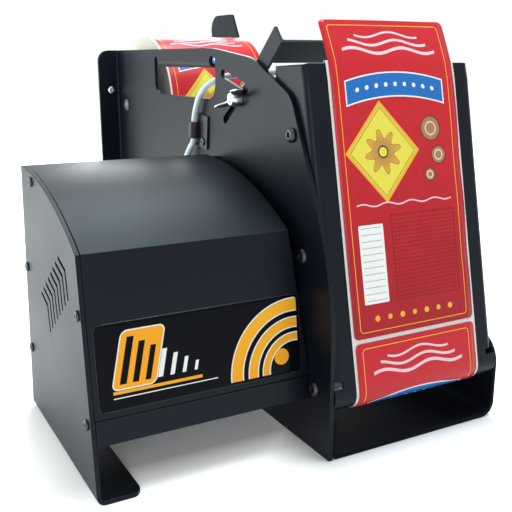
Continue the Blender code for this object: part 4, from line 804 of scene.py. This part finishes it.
def brokenEdges(node, width):
    source = nodes[node]
    shape = bmesh.new()
    shape.from_mesh(source.data)
    bmesh.ops.remove_doubles(shape, verts=shape.verts, dist=edges["weld"] * mm)
    flat = math.radians(edges["flat"])
    bmesh.ops.dissolve_limit(shape, angle_limit=flat, verts=shape.verts, edges=shape.edges)
    if node == flangeDrop["node"]:
        dropFlanges(shape)
    for layer in (shape.loops.layers.float_vector, shape.loops.layers.uv):
        for key in list(layer.keys()):
            layer.remove(layer[key])
    material = source.material_slots[0].material
    thing = meshPiece(camel(node), shape, [material], bodyOf[node], [node], slotOf[node], edges["sharp"])
    if "custom_normal" in thing.data.attributes:
        thing.data.attributes.remove(thing.data.attributes["custom_normal"])
    change = thing.modifiers.new("brokenEdge", "BEVEL")
    change.width = width * mm
    change.segments = edges["steps"]
    change.limit_method = "ANGLE"
    change.angle_limit = math.radians(edges["sharp"])
    change = thing.modifiers.new("flatFaces", "WEIGHTED_NORMAL")
    change.keep_sharp = True


def makeBrokenEdges():
    for kind, width in edges["breaks"].items():
        for node in edges[kind]:
            brokenEdges(node, width)


makeBrokenEdges()
print("edges broken")


# The path of the web from the roll to the peeling edge, as places with outward normals

path = {"curl": (11.3, 49.5), "curlRadius": 13.0, "wrap": 8.0, "faceLean": 12.0, "topLean": 16.0,
        "freeLean": 26.0, "creaseHeight": 279.0, "topHeight": 292.3, "offRoll": 0.3, "creaseShare": 0.94,
        "free": (6, 90), "lift": 1.05, "rollSteps": 4, "curlSteps": 14}


def leavingAngle():  # where the web's straight run leaves the roll
    way = Vector(path["curl"]) - Vector(roll["centre"])
    less = roll["radius"] + path["offRoll"] - path["curlRadius"]
    return math.atan2(way.y, way.x) + math.acos(less / way.length)


def webStations():
    normal = leavingAngle()
    stations = []

    def add(centre, radius, angle):
        out = Vector((math.cos(angle), math.sin(angle)))
        stations.append((Vector(centre) + out * radius, out))

    steps = path["rollSteps"]
    for i in range(steps + 1):
        turn = math.radians(path["wrap"]) * (1 - i / steps)
        add(roll["centre"], roll["radius"] + path["offRoll"], normal + turn)
    face = math.pi - math.radians(path["faceLean"]) - 2 * math.pi
    steps = path["curlSteps"]
    for i in range(steps + 1):
        add(path["curl"], path["curlRadius"], normal + (face - normal) * i / steps)
    start = stations[-1][0]
    rise = path["creaseHeight"] - start.y
    crease = Vector((start.x + rise * math.tan(math.radians(path["faceLean"])), path["creaseHeight"]))
    out = stations[-1][1]
    stations.append((start.lerp(crease, path["creaseShare"]), out))
    lean, free = math.radians(path["topLean"]), math.radians(path["freeLean"])
    upper, loose = Vector((-math.cos(lean), math.sin(lean))), Vector((-math.cos(free), math.sin(free)))
    stations.append((crease, (out + upper).normalized()))
    edge = crease + Vector((math.tan(lean), 1)) * (path["topHeight"] - path["creaseHeight"])
    stations.append((edge, (upper + loose).normalized()))
    for length in path["free"]:
        stations.append((edge + Vector((math.sin(free), math.cos(free))) * length, loose))
    return stations


webPath = webStations()
webLengths = [0.0]
for one, other in zip(webPath, webPath[1:]):
    webLengths.append(webLengths[-1] + (other[0] - one[0]).length)
creaseLength, edgeLength = webLengths[-4], webLengths[-3]


def onWeb(length):  # a place on the bare web's line, and its outward normal
    for i in range(1, len(webPath)):
        if length <= webLengths[i] or i == len(webPath) - 1:
            share = (length - webLengths[i - 1]) / (webLengths[i] - webLengths[i - 1])
            (here, out), (there, outThere) = webPath[i - 1], webPath[i]
            return here.lerp(there, share), out.lerp(outThere, share).normalized()


labelMesh = {"ends": [0.0, 0.25, 0.8, 1.7, 2.8, 4.0], "step": 5.825, "inside": 39, "columns": 25,
             "film": 0.22}


def labelRows():
    ends = labelMesh["ends"]
    inside = [ends[-1] + i * labelMesh["step"] for i in range(1, labelMesh["inside"] + 1)]
    return ends + inside + [label["length"] - e for e in reversed(ends)]


# The slack of the foremost label: its free end and its right side, in millimetres and in shares of its width
curlUp = {"free": 0.7, "side": 0.45, "back": 1.12, "reach": 35.0, "from": 0.62, "wave": 0.085, "grown": 60}


def labelPiece(name, start, freeEdge):
    rows = labelRows()
    columns = labelMesh["columns"]
    half = label["width"] / 2
    middle = (web["left"] + web["right"]) / 2

    def mark(i, j):
        v = rows[i]
        inset = cornerInset(min(v, label["length"] - v), label["corner"])
        return Vector(((j / (columns - 1) * 2 - 1) * (half - inset), v, 0))

    def place(i, j):
        u, v = mark(i, j).xy
        base, out = onWeb(start + v)
        lift = path["lift"]
        if freeEdge:  # loose film past the peeling edge, and a slack right side
            past = max(0.0, (start + v - edgeLength) / curlUp["reach"])
            side = max(0.0, (u / half - curlUp["from"]) / (1 - curlUp["from"]))
            slack = (1 + math.sin(v * curlUp["wave"])) * min(1.0, v / curlUp["grown"])
            lift += curlUp["side"] * side ** 2 * slack
            lift += curlUp["free"] * past * (1 - (u / half) ** 2) - curlUp["back"] * past ** 2
        return spot(middle + u, *(base + out * lift))

    shape = webSheet(len(rows), columns, place, mark)
    thing = meshPiece(camel(name), shape, [film], "machine", [name], "red_label", 60)
    thicken(thing, labelMesh["film"], 0.0)


frontLow = 90.0  # the height at which the foremost label starts
frontStart = creaseLength - (path["creaseHeight"] - frontLow) / math.cos(math.radians(path["faceLean"]))


def makeLabels():
    for place, name in enumerate(("front_label", "next_label", "supply_label")):
        labelPiece(name, frontStart - place * pitch, freeEdge=place == 0)


makeLabels()
print("labels made")


# The wound roll

rollMesh = {"corners": 144, "left": 22.5, "right": 144.5, "rings": 11, "uneven": 0.22, "rhythm": 2.1}


def makeRoll():
    shape = bmesh.new()
    left, right = rollMesh["left"], rollMesh["right"]
    depth = (roll["radius"] - roll["bore"]) / rollMesh["rings"]
    y, z = roll["centre"]

    def ring(radius, x):
        return ringOf(shape, rollMesh["corners"],
                      lambda angle: spot(x, y + radius * math.cos(angle), z + radius * math.sin(angle)))

    outer = [ring(roll["radius"], left), ring(roll["radius"], right)]
    inner = [ring(roll["bore"], left), ring(roll["bore"], right)]
    skin(shape, outer, closed=True)
    skin(shape, inner, closed=True, material=1)
    for side, x, inward in ((0, left, 1), (1, right, -1)):  # each side dips a little between its turns
        rings = [outer[side]]
        for k in range(1, rollMesh["rings"]):
            dip = rollMesh["uneven"] * abs(math.sin(k * rollMesh["rhythm"]))
            rings.append(ring(roll["radius"] - k * depth, x + inward * dip))
        skin(shape, rings + [inner[side]], closed=True, material=1)
    bmesh.ops.recalc_face_normals(shape, faces=shape.faces)
    materials = [wrappedWeb(leavingAngle()), rollSide()]
    meshPiece("labelRoll", shape, materials, "roll", ["label_roll"], "red_label", 40)


makeRoll()
print("roll made")


# The decal on the housing's front

def makeDecal():
    columns, rows = decal["columns"], decal["rows"]
    lean = math.tan(math.radians(decal["lean"]))
    wide, tall = decal["wide"], decal["tall"]

    def mark(i, j):
        v = tall * i / (rows - 1)
        inset = cornerInset(min(v, tall - v), decal["corner"])
        return Vector((inset + (wide - 2 * inset) * j / (columns - 1), v, 0))

    def place(i, j):
        u, v = mark(i, j).xy
        z = decal["low"] + v
        return spot(decal["left"] + u, decal["front"] + z * lean - decal["sunk"], z)

    shape = webSheet(rows, columns, place, mark)
    bmesh.ops.reverse_faces(shape, faces=shape.faces)
    thing = meshPiece("frontDecal", shape, [decalFilm()], "machine", (), "black_plastic", 60)
    thicken(thing, decal["sheet"], 1.0)


makeDecal()
print("decal made")


# Button-head screws with a six-sided socket

screws = {"plate": {"head": 5.6, "height": 3.2, "shank": 2.9, "socket": 2.3, "deep": 1.9},
          "small": {"head": 4.0, "height": 1.6, "shank": 1.9, "socket": 1.45, "deep": 1.0},
          "corners": 24, "rim": 0.12, "tip": 0.5, "point": 0.02,
          "dome": ((0.66, 1.0), (0.8, 0.9), (0.92, 0.66), (0.985, 0.34), (1.0, 0.12), (0.985, 0.0))}
# Each kind's size, the way that its head faces, its finish and its slot
screwKinds = {"plate_screw": ("plate", (-1, 0, 0), screwBlack, "black_screw"),
              "end_screw": ("small", (-1, 0, 0), screwBlack, "black_screw"),
              "clamp_screw": ("small", (-1, 0, 0), screwBlack, "black_screw"),
              "base_screw": ("small", (-1, 0, 0), bright, "bright_zinc"),
              "rear_screw": ("small", (0, -1, 0), bright, "bright_zinc")}


def screwPiece(node, sizeName, out, material, slotName):
    size = screws[sizeName]
    low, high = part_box(node)
    out = Vector(out)
    reach = abs((high - low).dot(out)) / mm
    side = Vector((0, 0, 1))
    across = out.cross(side)
    seat = (low + high) / 2 + out * (reach / 2 - size["height"]) * mm
    shape = bmesh.new()

    def ring(radius, up, sides=0):
        def place(angle):
            r = radius
            if sides:  # the same number of corners, laid on a hexagon
                part = (angle % (2 * math.pi / sides)) - math.pi / sides
                r = radius * math.cos(math.pi / sides) / math.cos(part)
            return seat + (side * math.cos(angle) + across * math.sin(angle)) * r * mm + out * up * mm
        return ringOf(shape, screws["corners"], place)

    head, height, socket, deep = size["head"], size["height"], size["socket"], size["deep"]
    rings = [ring(socket * 0.02, height - deep * 1.12), ring(socket, height - deep, 6),
             ring(socket, height - screws["rim"], 6), ring(socket * 1.1, height, 6)]
    rings += [ring(head * wide, height * up) for wide, up in screws["dome"]]
    rings += [ring(size["shank"], 0.0), ring(size["shank"], height - reach + screws["tip"]),
              ring(size["shank"] * 0.8, height - reach), ring(screws["point"], height - reach)]
    skin(shape, rings, closed=True)
    bmesh.ops.recalc_face_normals(shape, faces=shape.faces)
    meshPiece(camel(node), shape, [material], "machine", [node], slotName, 38)


def makeScrews():
    for name in sorted(nodes):
        kind = screwKinds.get(name.rstrip("_0123456789"))
        if kind:
            screwPiece(name, *kind)


makeScrews()
print("screws made")


# The wing nut, cast with two flared wings. The barrel's rings are a radius and a place along the axis, and a
# wing's are a place outwards, one along the axis, half a width and half a thickness

wingNut = {"centre": (143.236, 262.668), "tilt": -25.0, "bore": 3.3, "seat": 0.3, "corners": 28,
           "wingCorners": 16, "barrel": ((6.4, 0.0), (6.4, 4.2), (5.9, 6.2), (4.9, 8.6)),
           "wing": ((3.6, 4.6, 3.8, 2.2), (7.6, 5.1, 3.6, 1.9), (11.2, 6.8, 4.2, 1.75), (14.2, 9.6, 4.6, 1.6),
                    (15.8, 12.4, 3.8, 1.4), (16.3, 14.4, 2.2, 1.1), (16.4, 15.5, 0.7, 0.5))}


def makeWingNut():
    shape = bmesh.new()
    y, z = wingNut["centre"]

    def put(a, b, c):  # a outwards from the axis, b along it and c sideways
        return spot(-wingNut["seat"] - b, y + a, z + c)

    def barrelRing(radius, along):
        return ringOf(shape, wingNut["corners"],
                      lambda angle: put(radius * math.cos(angle), along, radius * math.sin(angle)))

    def wingRing(turn, section, way):
        a, b, wide, thick = section
        side = Vector((-way.y, way.x))

        def place(angle):
            flat = Vector((a, b)) + side * wide * math.cos(angle)
            c = thick * math.sin(angle)
            return put(flat.x * math.cos(turn) - c * math.sin(turn), flat.y,
                       flat.x * math.sin(turn) + c * math.cos(turn))
        return ringOf(shape, wingNut["wingCorners"], place)

    bore, barrel, sections = wingNut["bore"], wingNut["barrel"], wingNut["wing"]
    profile = [(bore, 0.0), *barrel, (bore, barrel[-1][1]), (bore, 0.0)]
    skin(shape, [barrelRing(radius, along) for radius, along in profile], closed=True)
    for turn in (math.radians(wingNut["tilt"]), math.radians(wingNut["tilt"]) + math.pi):
        rings = []
        for k, section in enumerate(sections):
            before, after = sections[max(k - 1, 0)], sections[min(k + 1, len(sections) - 1)]
            way = Vector((after[0] - before[0], after[1] - before[1])).normalized()
            rings.append(wingRing(turn, section, way))
        skin(shape, rings, closed=True)
        shape.faces.new(rings[0])
        shape.faces.new(rings[-1][::-1])
    bmesh.ops.remove_doubles(shape, verts=shape.verts, dist=0.005 * mm)
    bmesh.ops.recalc_face_normals(shape, faces=shape.faces)
    meshPiece("wingNut", shape, [bright], "wing_nut", ["wing_nut"], "bright_zinc", 50)


makeWingNut()
print("wing nut made")


# The sensor lead, from the gland past the clip and through the window to the head

lead = {"radius": 2.8, "step": 3.0, "corners": 20,
        "bendFrom": (12.0, 186.0, 280.0), "bendTo": (80.0, 108.0, 288.0), "route": (
            (-26.0, 205.45, 151.21), (-26.0, 217.1, 152.35), (-22.0, 236.0, 166.0), (-10.0, 242.0, 194.0),
            (-5.6, 235.0, 212.0), (-5.3, 224.99, 221.95), (-5.3, 223.01, 240.85), (-5.0, 214.0, 259.0),
            (-3.4, 204.0, 269.0), (2.5, 197.0, 275.5), (12.0, 186.0, 280.0), (26.0, 164.0, 283.0),
            (50.0, 135.0, 284.0), (76.0, 113.0, 286.0), (87.4, 104.31, 288.18), (87.4, 97.31, 288.18))}


def smoothLine(route, step):  # a curve through every point of the route
    points = [route[0]]
    for i in range(len(route) - 1):
        before, first = route[max(i - 1, 0)], route[i]
        last, after = route[i + 1], route[min(i + 2, len(route) - 1)]
        length = (last - first).length
        leave = (last - before).normalized() * length
        arrive = (after - first).normalized() * length
        count = max(1, round(length / step))
        for k in range(1, count + 1):
            t = k / count
            points.append(first * (2 * t**3 - 3 * t**2 + 1) + leave * (t**3 - 2 * t**2 + t)
                          + last * (3 * t**2 - 2 * t**3) + arrive * (t**3 - t**2))
    return points


def tube(shape, points, radius, count):  # its side is carried along the line, so that it doesn't twist
    side = Vector((1, 0, 0))
    rings = []
    for i, point in enumerate(points):
        way = (points[min(i + 1, len(points) - 1)] - points[max(i - 1, 0)]).normalized()
        side = (side - way * side.dot(way)).normalized()
        up = way.cross(side)
        rings.append(ringOf(shape, count, lambda angle: point + (side * math.cos(angle)
                                                                 + up * math.sin(angle)) * radius))
    skin(shape, rings, closed=True)
    shape.faces.new(rings[0])
    shape.faces.new(rings[-1])


def makeLead():
    points = smoothLine([spot(*place) for place in lead["route"]], lead["step"] * mm)
    shape = bmesh.new()
    tube(shape, points, lead["radius"] * mm, lead["corners"])
    bmesh.ops.recalc_face_normals(shape, faces=shape.faces)
    thing = meshPiece("sensorLead", shape, [finishes["grey_lead"]], None, ["sensor_cable"], "grey_lead", 60)
    spot(*lead["bendFrom"])
    spot(*lead["bendTo"])
    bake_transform(thing)


makeLead()
print("lead made")


# Lamps, world and floor

lamps = {
    "leftSheet": {"place": (-1.25, 0.72, 0.42), "aim": (-0.1, 0.0, 0.15), "size": (1.3, 1.1), "power": 23,
                  "tint": (0.90, 1.0, 0.98)},
    "topSheet": {"place": (0.1, 0.35, 1.3), "aim": (0.0, 0.0, 0.1), "size": (0.5, 0.8), "power": 11,
                 "tint": (0.84, 1.0, 1.03)},
    "coverSheet": {"place": (0.15, -0.35, 1.2), "aim": (-0.1, -0.1, 0.1), "size": (0.35, 0.4), "power": 8,
                   "tint": (0.86, 1.0, 1.02)},
    "backSheet": {"place": (0.9, 1.7, 0.85), "aim": (0.0, 0.0, 0.2), "size": (1.2, 0.9), "power": 22,
                  "tint": (0.92, 1.0, 1.03)},
    "frontSheet": {"place": (-1.25, -1.7, 0.7), "aim": (0.0, 0.0, 0.15), "size": (0.6, 0.9), "power": 9,
                   "tint": (0.95, 0.99, 1.02)},
}


def makeLamps():
    for name, lamp in lamps.items():
        data = bpy.data.lights.new(name, "AREA")
        data.shape = "RECTANGLE"
        data.size, data.size_y = lamp["size"]
        data.energy = lamp["power"]
        data.color = lamp["tint"]
        thing = bpy.data.objects.new(name, data)
        thing.location = lamp["place"]
        way = Vector(lamp["aim"]) - Vector(lamp["place"])
        thing.rotation_euler = way.to_track_quat("-Z", "Y").to_euler()
        bpy.context.scene.collection.objects.link(thing)


# Painted shadow: the floor's glow is lowered on the ground below the base and below the motor housing, each box
# given as a middle and half a size
backdrop = {"ambient": 0.42, "floor": (0.86, 0.86, 0.865), "size": 12.0, "below": 0.0004,
            "near": (0.08, 0.62, 0.05), "far": (0.30, 0.9),
            "shaded": (((-0.008, 0.0), (0.078, 0.228)), ((-0.17, -0.095), (0.08, 0.065)))}


def seenShare(shade):  # 1 for the rays that show the backdrop itself
    rays = {ray.socket.name: ray for ray in shade.outlets("LightPath")}
    return (rays["Is Camera Ray"] + rays["Is Glossy Ray"] + rays["Is Transmission Ray"]).clamp()


def makeWorld():
    world = bpy.data.worlds.new("studio")
    world.use_nodes = True
    bpy.context.scene.world = world
    shade = Shade(world.node_tree)
    light = shade.tree.nodes["Background"].inputs
    join(shade.tree, light["Color"], (1.0, 1.0, 1.0))
    join(shade.tree, light["Strength"], seenShare(shade) * (1.0 - backdrop["ambient"]) + backdrop["ambient"])


def makeFloor():
    s = Surface("paleFloor", roughness=0.9, colour=backdrop["floor"], Specular_IOR_Level=0.0)
    x, y, z = s.apart(s.place())
    reaches = []
    for (right, back), (wide, deep) in backdrop["shaded"]:
        reaches.append(span((abs(x * mm - right) - wide).high(0.0), (abs(y * mm - back) - deep).high(0.0)))
    reach = reaches[0].low(reaches[1])
    low, full, spread = backdrop["near"]  # the floor's glow is dimmer near these boxes: a painted contact shadow
    more, distance = backdrop["far"]
    lift = (reach / spread).clamp() * (full - low) + low + (reach / distance).clamp() * more
    glow = s.make("Emission", None, {"Color": (1.0, 1.0, 1.0), "Strength": seenShare(s) * lift})
    both = s.make("AddShader", None, {0: Link(s.tree, s.shader.outputs[0]), 1: glow})
    join(s.tree, s.tree.nodes["Material Output"].inputs["Surface"], both)
    shape = bmesh.new()
    half = backdrop["size"] / 2
    corners = ((-half, -half), (half, -half), (half, half), (-half, half))
    shape.faces.new([shape.verts.new((*corner, -backdrop["below"])) for corner in corners])
    mesh = bpy.data.meshes.new("floor")
    shape.to_mesh(mesh)
    shape.free()
    mesh.materials.append(s.material)
    thing = bpy.data.objects.new("floor", mesh)
    bpy.context.scene.collection.objects.link(thing)


makeLamps()
makeWorld()
makeFloor()
bpy.context.scene.view_settings.view_transform = "Standard"
print("stage made")
